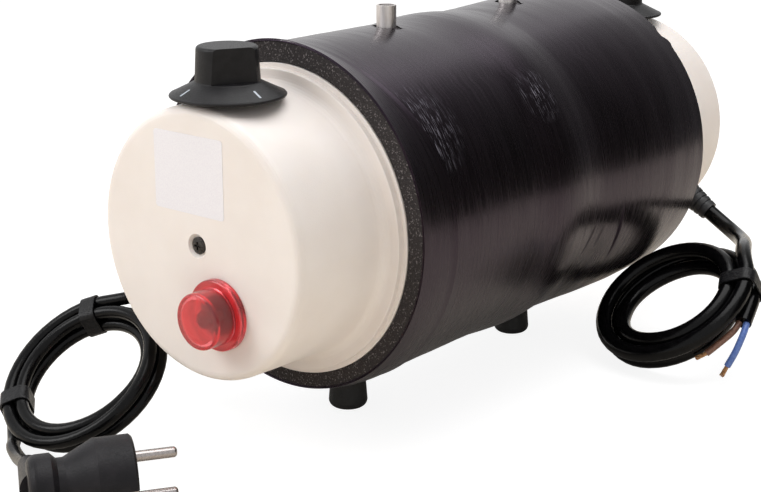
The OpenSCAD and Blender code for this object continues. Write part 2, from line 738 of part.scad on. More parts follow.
// Round shaft with a flat on the length that the knob grips, larger by a gap for the knob's bore.
module shaft_form(gap, low, high) difference() {
    translate([0, 0, low]) cylinder(d = shaft_d + 2 * gap, h = high - low);
    translate([shaft_d / 2 - shaft_flat + gap, -shaft_d, knob_recess_top])
        cube([shaft_d, 2 * shaft_d, shaft_top]);
}
module front_shaft() color("silver") at_knob(false) shaft_form(0, shaft_low, shaft_top);
module rear_shaft() color("silver") at_knob(true) shaft_form(0, shaft_low, shaft_top);

// Knob: brim, cone and round body with one flat, bored from below for the shaft and nut.
module knob(rear) color("black") at_knob(rear) {
    body_r = knob_body_d / 2;
    top_r = body_r - knob_taper / 2;
    flat_x = sqrt(pow(top_r, 2) - pow(knob_flat_w / 2, 2));
    edge_r = knob_edge / 2;
    cone_top = knob_z + knob_edge + knob_cone_h;
    difference() {
        rotate_extrude($fn = round_fn) polygon(concat(
            [[0, knob_z]], arc([knob_d / 2 - edge_r, knob_z + edge_r], edge_r, -90, 90, 6),
            [[body_r + knob_fillet, cone_top - knob_fillet / 2], [body_r, cone_top + knob_fillet / 2]],
            arc([top_r - knob_round, knob_z + knob_h - knob_round], knob_round, 0, 90, 5),
            [[0, knob_z + knob_h]]));
        rotate([0, 0, knob_flat_turn]) translate([flat_x, -knob_d / 2, cone_top])
            cube([knob_d, knob_d, knob_h]);
        translate([0, 0, knob_z - past])
            cylinder(d = knob_recess_d, h = knob_recess_top - knob_z + past);
        shaft_form(fix_gap, knob_z, shaft_top + shaft_room);
    }
}
module front_knob() knob(false);
module rear_knob() knob(true);

// Frame of a sensor pocket on an end plate.
module at_pockets() at_ends() translate([pocket_right, 0, pocket_up]) children();

// Closed tubes into the tank that keep the sensor bulbs dry.
module sensor_pockets() color("silver") at_pockets() difference() {
    bar(pocket_d, plate_h - pocket_len, plate_h + pocket_out);
    bar(pocket_d - 2 * pocket_wall, plate_h - pocket_len + pocket_wall, plate_h + pocket_out + past);
}
module sensor_bulbs() color("peru") at_pockets()
    bar(bulb_d, plate_h - pocket_len + pocket_wall + fix_gap, plate_h + bulb_out);

// Capillary tubes from the thermostats down to the bulbs.
module capillaries() color("peru") at_ends() {
    start = [body_w / 4, body_l / 2 - knob_ahead + fix_gap, pad_low - body_h / 2];
    finish = [pocket_right, -plate_h - bulb_out - fix_gap, pocket_up];
    fall = start[2] - finish[2];
    run = finish[1] - start[1];
    cord([
        start, start + [0.5, run / 5, 0], start + [(finish[0] - start[0]) / 2, run / 2, -fall / 2],
        finish + [0, -run / 5, 0], finish
    ], capillary_d, core_sides, [0, 0, 1]);
}

// A heating rod bent to a U, with a contact pin on each leg.
module heating_rod(rear) color("dimgray") at_end(rear) translate([0, 0, -rod_below]) {
    bend = plate_h - rod_len + rod_gap / 2 + rod_d / 2;
    for (side = [-1, 1]) translate([side * rod_gap / 2, 0, 0]) {
        bar(rod_d, bend, plate_h + rod_out);
        bar(rod_d / 3, plate_h + rod_out - past, plate_h + rod_pin_out);
    }
    translate([0, -bend, 0]) rotate_extrude(angle = 180)
        translate([rod_gap / 2, 0]) circle(d = rod_d);
}
module mains_element() heating_rod(false);
module low_voltage_element() heating_rod(true);

// Places the children at each leg of both heating rods.
module at_legs() at_ends() for (side = [-1, 1]) translate([side * rod_gap / 2, 0, -rod_below]) children();

module element_bushes() color("goldenrod") at_legs() difference() {
    union() {
        bar(rod_bush_flange_d, plate_h - tank_wall - gasket_t - rod_flange_t - fix_gap,
            plate_h - tank_wall - gasket_t - fix_gap);
        bar(rod_bush_d, plate_h - tank_wall - gasket_t - rod_flange_t, plate_h + rod_nut_t + rod_bush_over);
    }
    bar(rod_d + 2 * fix_gap, plate_h - rod_len / 2, plate_h + rod_out);
}
module element_gaskets() color("darkred") at_legs() difference() {
    bar(rod_bush_flange_d, plate_h - tank_wall - gasket_t, plate_h - tank_wall - fix_gap);
    bar(rod_bush_d + 2 * fix_gap, plate_h - tank_wall - gasket_t - past, plate_h);
}
module element_nuts() color("goldenrod") at_legs() difference() {
    hex_bar(rod_nut_af, plate_h + fix_gap, plate_h + rod_nut_t);
    bar(rod_bush_d + 2 * fix_gap, plate_h - past, plate_h + rod_nut_t + past);
}

// Overheat cut-outs: a disc against the end plate with a stepped back and two blades.
module overheat_cutouts() color("saddlebrown") at_ends() translate([-cutout_left, 0, cutout_up]) {
    turned() polygon([
        [0, plate_h + fix_gap], [cutout_d / 2, plate_h + fix_gap], [cutout_d / 2, plate_h + cutout_step],
        [cutout_back_d / 2, plate_h + cutout_step + (cutout_d - cutout_back_d) / 2],
        [cutout_back_d / 2, plate_h + cutout_h], [0, plate_h + cutout_h]]);
    for (side = [-1, 1])
        translate([(side * cutout_blade_gap - blade_t) / 2, -plate_h - cutout_h - blade_h, -blade_w / 2])
            cube([blade_t, blade_h + past, blade_w]);
}

// Terminal block on the end plate: one screw well and one wire hole for each way.
module terminal_block(rear, ways) color("ivory") at_end(rear) translate([0, 0, -block_below]) {
    difference() {
        translate([-ways * way_w / 2, -plate_h - block_h, -block_l / 2])
            cube([ways * way_w, block_h - fix_gap, block_l]);
        for (i = [0:ways - 1]) translate([(i - (ways - 1) / 2) * way_w, 0, 0]) {
            bar(well_d, plate_h + block_h - well_deep, plate_h + block_h + past);
            translate([0, -plate_h - wire_up, -block_l]) cylinder(d = wire_d, h = 2 * block_l);
        }
    }
}
module front_terminal_block() terminal_block(false, 3);
module rear_terminal_block() terminal_block(true, 2);

// Frame of a gland: its origin is on the cap's axis and up is the way out.
module gland_frame() translate([0, -gland_ahead, 0]) rotate([0, -90 - gland_angle, 0]) children();

// Cord gland: threaded barrel through the wall, flange, and a tapered sleeve with grooves.
module gland(rear, d) color("black") at_end(rear) gland_frame() {
    tip_r = d / 2 + gland_tip_wall;
    root_r = gland_root_d / 2;
    flange_r = gland_flange_d / 2;
    low = gland_nut_top - gland_nut_t - gland_end;
    root = gland_seat + gland_flange_t;
    difference() {
        rotate_extrude($fn = round_fn) polygon([
            [0, low], [gland_barrel_d / 2, low], [gland_barrel_d / 2, gland_seat], [flange_r, gland_seat],
            [flange_r, root - gland_flange_edge], [flange_r - gland_flange_edge, root], [root_r, root],
            [tip_r, gland_tip], [0, gland_tip]]);
        for (i = [1:gland_grooves]) let (share = i / (gland_grooves + 1))
            translate([0, 0, root + (gland_tip - root) * share]) rotate_extrude($fn = round_fn)
                translate([root_r + (tip_r - root_r) * share - gland_groove_deep, -gland_groove_w / 2])
                    square([root_r, gland_groove_w]);
    }
}
module front_gland() gland(false, mains_d);
module rear_gland() gland(true, low_d);
module gland_nuts() color("black") at_ends() gland_frame()
    translate([0, 0, gland_nut_top - gland_nut_t]) difference() {
        cylinder(d = gland_nut_af / cos(30), h = gland_nut_t, $fn = 6);
        translate([0, 0, -past]) cylinder(d = gland_barrel_d + 2 * fix_gap, h = gland_nut_t + 2 * past);
    }

// Floor frame under a foot.
module at_foot(y) translate([0, tank_y + y, 0]) children();
module at_feet() for (y = [-front_foot_ahead, rear_foot_behind]) at_foot(y) children();

// Studs below the tank, and the nuts that hold the rubber feet on them.
module foot_studs() color("goldenrod") at_feet() translate([0, 0, stud_hole_floor + seat_gap])
    cylinder(d = stud_d, h = axis_z - tank_r - fix_gap - stud_hole_floor - seat_gap);
module foot_nuts() color("goldenrod") at_feet() translate([0, 0, foot_floor + fix_gap]) difference() {
    cylinder(d = foot_nut_af / cos(30), h = foot_nut_t, $fn = 6);
    translate([0, 0, -past]) cylinder(d = stud_d + 2 * fix_gap, h = foot_nut_t + 2 * past);
}

// Rubber cup with a rounded foot, a hollow for the nut and a blind hole for the stud.
module foot(y) color("black") at_foot(y) {
    hollow_r = foot_nut_af / cos(30) / 2 + foot_nut_room;
    foot_r = foot_d / 2;
    rotate_extrude($fn = round_fn) polygon(concat(
        [[0, 0]], arc([foot_r - foot_edge_r, foot_edge_r], foot_edge_r, -90, 0, 6),
        [[foot_top_d / 2, foot_h - foot_lip], [foot_top_d / 2 - foot_lip, foot_h], [hollow_r, foot_h]],
        [[hollow_r, foot_floor], [stud_d / 2 + fix_gap, foot_floor]],
        [[stud_d / 2 + fix_gap, stud_hole_floor], [0, stud_hole_floor]]));
}
module front_foot() foot(-front_foot_ahead);
module rear_foot() foot(rear_foot_behind);

// Mains lead: from its gland to the coil, the coil itself, and on to the plug.
module mains_lead() color("black") cord(mains_lead_line, mains_d, lead_sides, [0, 0, 1]);
module mains_coil() color("black") cord(mains_line, mains_d, coil_sides, mains_axes[2]);
module mains_tail() color("black") cord(mains_tail_line, mains_d, lead_sides, [0, 0, 1]);
module mains_ties() color("black") for (angle = mains_tie_angles)
    coil_tie(mains_place, mains_axes, mains_coil_r, mains_pitch, mains_turns, mains_start, 1, mains_d, angle);

// Frame of the plug: the origin is the middle of its front and up is the way that the pins point.
module at_plug() translate(plug_face) rotate([0, 0, plug_turn]) rotate([0, 90, 0]) children();

// Earthed plug moulded in one piece with the tapered sleeve of its cord.
module plug_body() color("black") difference() {
    union() {
        at_plug() rotate_extrude($fn = round_fn) polygon(concat(
            [[0, 0], [plug_d / 2 - plug_edge, 0], [plug_d / 2, -plug_edge], [plug_d / 2, -plug_rim_l]],
            [[plug_waist_d / 2, -plug_rim_l - plug_shoulder_l]],
            [[plug_waist_d / 2, plug_back_l - plug_len + (plug_back_d - plug_waist_d) / 2]],
            [[plug_back_d / 2, plug_back_l - plug_len]],
            arc([plug_back_d / 2 - plug_back_round, plug_back_round - plug_len], plug_back_round, 0, -90, 5),
            [[0, -plug_len]]));
        along(boot_start, plug_boot_end)
            cylinder(d1 = plug_boot_start_d, d2 = plug_boot_end_d, h = norm(plug_boot_end - boot_start));
    }
    at_plug() for (side = [0, 1]) {
        mirror([0, side, 0])
            translate([-clip_w / 2 - seat_gap, clip_low - seat_gap, -clip_l - seat_gap])
                cube([clip_w + 2 * seat_gap, plug_d, clip_l + past]);
        mirror([side, 0, 0]) translate([pin_gap / 2, 0, -pin_root])
            cylinder(d = pin_d + 2 * fix_gap, h = pin_root + past);
    }
}

// Two round contact pins with rounded tips.
module plug_pins() color("silver") at_plug() for (side = [-1, 1]) translate([side * pin_gap / 2, 0, 0])
    rotate_extrude() polygon(concat(
        [[0, fix_gap - pin_root], [pin_d / 2, fix_gap - pin_root]],
        arc([pin_d / 2 - pin_tip_r, pin_len - pin_tip_r], pin_tip_r, 0, 90, 5), [[0, pin_len]]));

// Earth clips set into the plug's sides.
module plug_earth_clips() color("silver") at_plug() for (side = [0, 1]) mirror([0, side, 0])
    translate([-clip_w / 2, clip_low, -clip_l]) cube([clip_w, clip_t, clip_l - clip_back]);

// Low-voltage lead: from its gland to the coil, and the coil that ends in two bare cores.
module low_voltage_lead() color("black") cord(low_lead_line, low_d, lead_sides, [0, 0, 1]);
module low_voltage_coil() color("black") cord(low_line, low_d, coil_sides, low_axes[2]);
module low_voltage_tie() color("black")
    coil_tie(low_place, low_axes, low_coil_r, low_pitch, low_turns, low_start, -1, low_d, low_tie_angle);
module blue_core() color("royalblue") cord(blue_line, core_d, core_sides, [1, 0, 0]);
module brown_core() color("sienna") cord(brown_line, core_d, core_sides, [0, 0, 1]);
module copper_ends() color("peru") for (ends = [[blue_mid[2], blue_tip], [brown_mid[2], brown_tip]])
    along(ends[0], ends[1]) translate([0, 0, copper_in])
        cylinder(d = copper_d, h = norm(ends[1] - ends[0]) - copper_in);

inner_tank();
cold_inlet_pipe();
hot_outlet_pipe();
insulation_foam();
insulation_skin();
front_edge_tape();
front_cap();
rear_cap();
cap_pillars();
cap_screws();
lamp_lens();
lamp_holder();
lamp_bulb();
lamp_nut();
front_thermostat();
rear_thermostat();
thermostat_nuts();
front_shaft();
rear_shaft();
front_knob();
rear_knob();
sensor_pockets();
sensor_bulbs();
capillaries();
mains_element();
low_voltage_element();
element_bushes();
element_gaskets();
element_nuts();
overheat_cutouts();
front_terminal_block();
rear_terminal_block();
front_gland();
rear_gland();
gland_nuts();
foot_studs();
foot_nuts();
front_foot();
rear_foot();
mains_lead();
mains_coil();
mains_tail();
mains_ties();
plug_body();
plug_pins();
plug_earth_clips();
low_voltage_lead();
low_voltage_coil();
low_voltage_tie();
blue_core();
brown_core();
copper_ends();
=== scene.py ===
import math
import bpy
from mathutils import Matrix, Vector, geometry, noise


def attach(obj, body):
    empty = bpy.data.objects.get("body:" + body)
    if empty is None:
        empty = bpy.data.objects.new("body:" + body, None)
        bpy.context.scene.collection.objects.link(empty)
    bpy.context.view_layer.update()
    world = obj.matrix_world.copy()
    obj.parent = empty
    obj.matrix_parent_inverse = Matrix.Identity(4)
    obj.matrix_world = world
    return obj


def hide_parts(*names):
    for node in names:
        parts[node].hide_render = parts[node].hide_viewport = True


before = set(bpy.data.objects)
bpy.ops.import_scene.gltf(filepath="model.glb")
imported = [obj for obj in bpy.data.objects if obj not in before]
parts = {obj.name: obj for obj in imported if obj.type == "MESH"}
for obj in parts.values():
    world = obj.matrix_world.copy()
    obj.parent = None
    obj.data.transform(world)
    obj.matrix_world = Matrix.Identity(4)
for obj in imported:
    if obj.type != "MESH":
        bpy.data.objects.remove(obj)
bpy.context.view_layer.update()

bpy.ops.object.select_all(action="DESELECT")

# Studio: the photograph's camera, a pale floor, two soft lamps and a white surround.
# A card stands behind on the right as a photographer's flag, black with a paler left end.
# Only the glossy surfaces see it.
scene = bpy.context.scene
scene.view_settings.view_transform = "Standard"


def linear(code):
    """An sRGB hex colour as linear values with full alpha."""
    shares = [int(code[i:i + 2], 16) / 255 for i in (1, 3, 5)]
    return [v / 12.92 if v <= 0.04045 else ((v + 0.055) / 1.055) ** 2.4 for v in shares] + [1.0]


def add_node(owner, kind, values=(), links=(), feeds=(), **settings):
    """Adds a node: its settings, its socket values, its incoming links and the sockets that it feeds."""
    tree = owner.node_tree
    made = tree.nodes.new(kind)
    for name, value in settings.items():
        setattr(made, name, value)
    for socket, value in dict(values).items():
        made.inputs[socket].default_value = value
    for socket, source in dict(links).items():
        tree.links.new(source, made.inputs[socket])
    for output, target in dict(feeds).items():
        tree.links.new(made.outputs[output], target)
    return made


def start_material(name, **sockets):
    """A new material and its shader, with these values on the shader's own sockets."""
    material = bpy.data.materials.new(name)
    material.use_nodes = True
    shader = material.node_tree.nodes["Principled BSDF"]
    for socket, value in sockets.items():
        shader.inputs[socket.replace("_", " ")].default_value = value
    return material, shader


def white_rays(owner, mirror_share=1.0):
    """1 for rays that see the surround itself: from the camera, through glass, or a share from a mirror."""
    path = add_node(owner, "ShaderNodeLightPath")
    mirrored = add_node(owner, "ShaderNodeMath", {1: mirror_share}, {0: path.outputs["Is Glossy Ray"]},
                        operation="MULTIPLY")
    seen = add_node(owner, "ShaderNodeMath", links={0: path.outputs["Is Camera Ray"], 1: mirrored.outputs[0]},
                    operation="MAXIMUM")
    through = add_node(owner, "ShaderNodeMath",
                       links={0: seen.outputs[0], 1: path.outputs["Is Transmission Ray"]},
                       operation="MAXIMUM")
    return through.outputs[0]


camera_turn, camera_rise = math.radians(39.451), math.radians(14.591)
camera_aim, camera_distance = Vector((0, -0.04855, 0.109)), 0.78897
camera_back = Vector((math.sin(camera_turn) * math.cos(camera_rise),
                      -math.cos(camera_turn) * math.cos(camera_rise), math.sin(camera_rise)))
camera_lens = bpy.data.cameras.new("photo_camera")
camera_lens.sensor_width = 36
camera_lens.lens = 72.61
camera_lens.shift_x = -0.0097
camera_lens.shift_y = -0.0765
camera = bpy.data.objects.new("photo_camera", camera_lens)
camera.location = camera_aim + camera_distance * camera_back
camera.rotation_euler = camera_back.to_track_quat("Z", "Y").to_euler()
scene.collection.objects.link(camera)
scene.camera = camera

world = bpy.data.worlds.new("white_surround")
world.use_nodes = True
scene.world = world
ambient_light = 0.5
surround = world.node_tree.nodes["Background"]
surround.inputs["Color"].default_value = (1, 1, 1, 1)
add_node(world, "ShaderNodeMapRange", {"To Min": ambient_light, "To Max": 1.0}, {"Value": white_rays(world)},
         {"Result": surround.inputs["Strength"]})

lamp_aim = Vector((0, 0, 0.1))
# Each lamp's place, width and power.
lamp_kinds = {
    "key_lamp": (Vector((-0.9, -1.3, 1.1)), 0.9, 15),
    "top_lamp": (Vector((0.1, 0.2, 1.4)), 1.2, 15),
}
for lamp_name, (lamp_place, lamp_width, lamp_power) in lamp_kinds.items():
    lamp_data = bpy.data.lights.new(lamp_name, "AREA")
    lamp_data.size = lamp_width
    lamp_data.energy = lamp_power
    lamp = bpy.data.objects.new(lamp_name, lamp_data)
    lamp.location = lamp_place
    lamp.rotation_euler = (lamp_place - lamp_aim).to_track_quat("Z", "Y").to_euler()
    scene.collection.objects.link(lamp)

floor_width, floor_drop = 6, 0.0002
bpy.ops.mesh.primitive_plane_add(size=floor_width, location=(0, 0, -floor_drop))
floor = bpy.context.object
floor.name = "floor"
pale_floor, floor_shader = start_material("pale_floor", Base_Color=linear("#ece2d3"), Roughness=0.9)
# Most of the floor's white is its own, so that it stays white round a faint shadow.
# A glossy surface mirrors little of that white, and mainly the lit floor.
floor_glow, floor_grey, floor_mirror_share = 0.88, 0.3, 0.05
floor_white = add_node(pale_floor, "ShaderNodeEmission", {"Strength": floor_glow})
floor_shade = add_node(pale_floor, "ShaderNodeBsdfDiffuse",
                       {"Color": (floor_grey, floor_grey, floor_grey, 1)})
floor_seen = add_node(pale_floor, "ShaderNodeAddShader",
                      links={0: floor_white.outputs[0], 1: floor_shade.outputs[0]})
floor_surface = pale_floor.node_tree.nodes["Material Output"].inputs["Surface"]
add_node(pale_floor, "ShaderNodeMixShader",
         links={0: white_rays(pale_floor, floor_mirror_share), 1: floor_shader.outputs[0],
                2: floor_seen.outputs[0]}, feeds={0: floor_surface})
floor.data.materials.append(pale_floor)

card_place, card_end_white = Vector((0.55, 0.66, 0.56)), 0.62
card_wide, card_tall = 2.1, 1.12
card_turn = math.atan2(card_place.y, card_place.x) + math.pi / 2
bpy.ops.mesh.primitive_plane_add(size=1, location=card_place, rotation=(math.pi / 2, 0, card_turn))
card = bpy.context.object
card.name = "black_card"
card.scale = (card_wide, card_tall, 1)
card_black, card_shader = start_material("black_card", Base_Color=linear("#050505"), Roughness=1.0,
                                         Specular_IOR_Level=0, Emission_Color=(1, 1, 1, 1))
card_coordinates = add_node(card_black, "ShaderNodeTexCoord")
card_across = add_node(card_black, "ShaderNodeSeparateXYZ", links={0: card_coordinates.outputs["Object"]})
# Unscaled the card is 1 wide, so that its left end lies at 0.5.
card_end = 0.5
add_node(card_black, "ShaderNodeMapRange", {"From Max": card_end, "To Max": card_end_white},
         {"Value": card_across.outputs["X"]}, {"Result": card_shader.inputs["Emission Strength"]})
card.data.materials.append(card_black)
card.visible_camera = False
card.visible_diffuse = False
card.visible_shadow = False
card.visible_transmission = False
card.select_set(False)

# Inner tank with its heating rods, sensor pockets and switches: welded stainless steel, brass bushes and
# nuts, copper capillaries, moulded switch and terminal bodies, all hidden by the sleeve and the caps.


def pattern(material, size_mm, low=0.35, high=0.65, detail=3.0, stretch=(1, 1, 1), space="Object", shift=0.0):
    """A value from 0 to 1 that varies over a surface in patches of this size, drawn out along some axes."""
    place = add_node(material, "ShaderNodeTexCoord")
    drawn = add_node(material, "ShaderNodeMapping", {"Scale": [1000 / size_mm / s for s in stretch],
                     "Location": (shift, shift, shift)}, {"Vector": place.outputs[space]})
    cloud = add_node(material, "ShaderNodeTexNoise", {"Scale": 1.0, "Detail": detail},
                     {"Vector": drawn.outputs[0]})
    return add_node(material, "ShaderNodeMapRange", {"From Min": low, "From Max": high},
                    {"Value": cloud.outputs["Fac"]}).outputs[0]


# Sockets of a Mix node for colours: its share, its two colours and its result.
mix_share, mix_first, mix_second, mix_result = 0, 6, 7, 2


def vary(material, shader, socket, value, low, high):
    """Runs a socket from low to high, as numbers or hex colours, with a value from 0 to 1."""
    if isinstance(low, str):
        return add_node(material, "ShaderNodeMix", {mix_first: linear(low), mix_second: linear(high)},
                        {mix_share: value}, {mix_result: shader.inputs[socket]}, data_type="RGBA")
    return add_node(material, "ShaderNodeMapRange", {"To Min": low, "To Max": high}, {"Value": value},
                    {"Result": shader.inputs[socket]})


def emboss(material, shader, height, depth_mm):
    """Raises a surface by a value from 0 to 1 times a depth."""
    add_node(material, "ShaderNodeBump", {"Strength": 1.0, "Distance": depth_mm / 1000}, {"Height": height},
             {"Normal": shader.inputs["Normal"]})


def dress(material, *names):
    """Gives CAD nodes a material."""
    for name in names:
        parts[name].active_material = material


# Drawn and welded sheet: fine streaks round the tank and a soft, uneven shine.
stainless, shader = start_material("drawn_stainless_steel", Metallic=1.0)
steel_streaks = pattern(stainless, 0.6, stretch=(1, 1, 60))
vary(stainless, shader, "Base Color", steel_streaks, "#a9a9ab", "#c4c4c6")
vary(stainless, shader, "Roughness", steel_streaks, 0.28, 0.42)
dress(stainless, "inner_tank", "sensor_pockets", "mains_element", "low_voltage_element")

# Turned brass: narrow tool marks, a warm colour that dulls in patches.
brass, shader = start_material("turned_brass", Metallic=1.0)
brass_patches = pattern(brass, 3.0)
vary(brass, shader, "Base Color", brass_patches, "#a9874a", "#cdaa63")
vary(brass, shader, "Roughness", brass_patches, 0.25, 0.4)
dress(brass, "element_bushes", "element_nuts", "cap_pillars")

# Bare copper, tarnished in patches.
copper, shader = start_material("bare_copper", Metallic=1.0)
copper_patches = pattern(copper, 1.5)
vary(copper, shader, "Base Color", copper_patches, "#94694a", "#c29a72")
vary(copper, shader, "Roughness", copper_patches, 0.3, 0.5)
dress(copper, "sensor_bulbs", "capillaries")

# Moulded phenolic and nylon bodies: pale, with a fine grain.
switch_plastic, shader = start_material("moulded_nylon", IOR=1.53)
switch_grain = pattern(switch_plastic, 0.8)
vary(switch_plastic, shader, "Base Color", switch_grain, "#d8d2c6", "#e2ddd2")
vary(switch_plastic, shader, "Roughness", switch_grain, 0.45, 0.6)
emboss(switch_plastic, shader, switch_grain, 0.02)
dress(switch_plastic, "front_thermostat", "rear_thermostat", "front_terminal_block", "rear_terminal_block",
      "lamp_nut")

# Moulded black plastic with a fine matt grain.
dark_plastic, shader = start_material("moulded_black_nylon", IOR=1.53)
dark_grain = pattern(dark_plastic, 0.7)
vary(dark_plastic, shader, "Base Color", dark_grain, "#17171a", "#222225")
vary(dark_plastic, shader, "Roughness", dark_grain, 0.42, 0.58)
emboss(dark_plastic, shader, dark_grain, 0.02)
dress(dark_plastic, "overheat_cutouts", "gland_nuts", "lamp_holder")

# Yellow zinc plating: a thin iridescent yellow over bright steel.
zinc, shader = start_material("yellow_zinc_plating", Metallic=1.0)
zinc_patches = pattern(zinc, 2.0)
vary(zinc, shader, "Base Color", zinc_patches, "#b89a52", "#d3c08a")
vary(zinc, shader, "Roughness", zinc_patches, 0.22, 0.38)
dress(zinc, "thermostat_nuts", "front_shaft", "rear_shaft", "foot_studs", "foot_nuts")

# Moulded black rubber: dull, with a slight bloom.
rubber, shader = start_material("moulded_black_rubber", IOR=1.52)
rubber_bloom = pattern(rubber, 1.2)
vary(rubber, shader, "Base Color", rubber_bloom, "#101010", "#1c1b1a")
vary(rubber, shader, "Roughness", rubber_bloom, 0.55, 0.75)
emboss(rubber, shader, rubber_bloom, 0.03)
dress(rubber, "element_gaskets")

# Water pipes: two stubs of plain drawn tube, welded into the tank and cut off square.
# Their metal is grey with a brownish, dull cast and fine marks along the tube.
pipe_metal, shader = start_material("drawn_tube_metal", Metallic=1.0)
pipe_marks = pattern(pipe_metal, 0.8, stretch=(1, 1, 12))
vary(pipe_metal, shader, "Base Color", pipe_marks, "#cdc7c5", "#dfdbda")
vary(pipe_metal, shader, "Roughness", pipe_marks, 0.38, 0.5)
dress(pipe_metal, "cold_inlet_pipe", "hot_outlet_pipe")

# Foam sleeve: a thick tube of dark open-cell foam, cut off square at both ends and pushed over tank and caps.
# Its cut end faces show pale specks of opened cells.
tank_middle, axis_height = 0.00525, 0.109
sleeve_front, sleeve_back, sleeve_plain_radius = -0.12625, 0.12775, 0.0844
skirt_seat_radius, tank_seat_radius, skirt_inner_end = 0.0757, 0.0733, 0.0767
skirt_inner_front, skirt_inner_back = tank_middle - skirt_inner_end, tank_middle + skirt_inner_end


def hump(x):
    """A smooth rise to 1 between -1 and 1."""
    return (1 + math.cos(math.pi * x)) / 2 if abs(x) < 1 else 0


def sleeve_radius(y):
    """The film's outer radius: a swelling between the pipes and a lower one behind the rear pipe."""
    middle, middle_rise = tank_middle - 0.011, 0.0018
    rear, rear_rise = tank_middle + 0.08625, 0.0024
    middle_reach = 0.033 if y < middle else 0.030
    rear_reach = 0.085 if y < rear else 0.070
    return (sleeve_plain_radius + middle_rise * hump((y - middle) / middle_reach)
            + rear_rise * hump((y - rear) / rear_reach))


def sleeve_rise(y):
    """How far the sleeve's outside stands above the axis: it sags a little, and its front edge stands up."""
    sag, edge_rise, edge_reach = 0.0008, 0.0024, 0.016
    return edge_rise * max(0, 1 - (y - sleeve_front) / edge_reach) ** 2 - sag


film_thickness, film_over_foam = 0.0005, 0.0007
foam_steps, cut_steps, foam_round_steps = 64, 5, 192
foam_outline = []
for i in range(foam_steps + 1):
    y = sleeve_front + (sleeve_back - sleeve_front) * i / foam_steps
    foam_outline.append((sleeve_radius(y) - film_over_foam, y))
front_radius, back_radius = foam_outline[0][0], foam_outline[-1][0]
for i in range(1, cut_steps):
    cut_radius = back_radius + (skirt_seat_radius - back_radius) * i / cut_steps
    foam_outline.append((cut_radius, sleeve_back))
foam_outline += [(skirt_seat_radius, sleeve_back), (skirt_seat_radius, skirt_inner_back),
                 (tank_seat_radius, skirt_inner_back), (tank_seat_radius, skirt_inner_front),
                 (skirt_seat_radius, skirt_inner_front), (skirt_seat_radius, sleeve_front)]
for i in range(1, cut_steps):
    cut_radius = skirt_seat_radius + (front_radius - skirt_seat_radius) * i / cut_steps
    foam_outline.append((cut_radius, sleeve_front))
smooth_angle = math.radians(40)


def spin_round(name, outline, steps):
    """Turns a closed outline of radius and place along the axis into a ring about the heater's axis."""
    mesh = bpy.data.meshes.new(name)
    points = [(radius, y, axis_height) for radius, y in outline]
    edges = [(i, (i + 1) % len(points)) for i in range(len(points))]
    mesh.from_pydata(points, edges, [])
    ring = bpy.data.objects.new(name, mesh)
    scene.collection.objects.link(ring)
    bpy.context.view_layer.objects.active = ring
    ring.select_set(True)
    bpy.ops.object.mode_set(mode="EDIT")
    bpy.ops.mesh.select_all(action="SELECT")
    bpy.ops.mesh.spin(steps=steps, angle=2 * math.pi, center=(0, 0, axis_height), axis=(0, 1, 0))
    bpy.ops.mesh.select_all(action="SELECT")
    bpy.ops.mesh.remove_doubles(threshold=0.00001)
    bpy.ops.mesh.normals_make_consistent(inside=False)
    bpy.ops.object.mode_set(mode="OBJECT")
    bpy.ops.object.shade_smooth_by_angle(angle=smooth_angle)
    ring.select_set(False)
    return ring


foam_sleeve = spin_round("foam_sleeve", foam_outline, foam_round_steps)
# The outside takes the film's rise and sag, and the knife leaves the end faces a little uneven.
cut_wave, cut_wave_long, end_reach = 0.0004, 0.006, 0.0001
for point in foam_sleeve.data.vertices:
    depth_share = ((math.hypot(point.co.x, point.co.z - axis_height) - skirt_seat_radius)
                   / (sleeve_plain_radius - skirt_seat_radius))
    point.co.z += sleeve_rise(point.co.y) * max(0, min(1, depth_share))
    for end, inward in ((sleeve_front, 1), (sleeve_back, -1)):
        if abs(point.co.y - end) < end_reach:
            point.co.y += inward * cut_wave * (0.5 + 0.5 * noise.noise(point.co / cut_wave_long))
foam, shader = start_material("open_cell_foam", IOR=1.3)
foam_cells = pattern(foam, 0.9, low=0.3, high=0.7)
foam_specks = pattern(foam, 0.8, low=0.6, high=0.7, detail=2.0, shift=9.0)
foam_tint = add_node(foam, "ShaderNodeMix", {mix_first: linear("#282526"), mix_second: linear("#3c3838")},
                     {mix_share: foam_cells}, data_type="RGBA")
add_node(foam, "ShaderNodeMix", {mix_second: linear("#7d7778")},
         {mix_share: foam_specks, mix_first: foam_tint.outputs[mix_result]},
         {mix_result: shader.inputs["Base Color"]}, data_type="RGBA")
vary(foam, shader, "Roughness", foam_cells, 0.8, 0.95)
emboss(foam, shader, foam_cells, 0.3)
foam_sleeve.data.materials.append(foam)
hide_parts("insulation_foam")
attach(foam_sleeve, "heater")

# Film skin: black plastic film, laid round the foam and shrunk on with heat, holes cut for pipes and studs.
# It keeps fine drawn streaks and shallow wrinkles round the sleeve, and it follows the foam's swellings.
film_columns, film_rows = 264, 180
film_round, film_long = 2 * math.pi * sleeve_plain_radius, sleeve_back - sleeve_front
seam_turn = math.radians(-100)
pipe_places = [tank_middle - 0.055, tank_middle + 0.050]
stud_places = [tank_middle - 0.086, tank_middle + 0.060]
pipe_hole_radius, stud_hole_radius = 0.0058, 0.0042


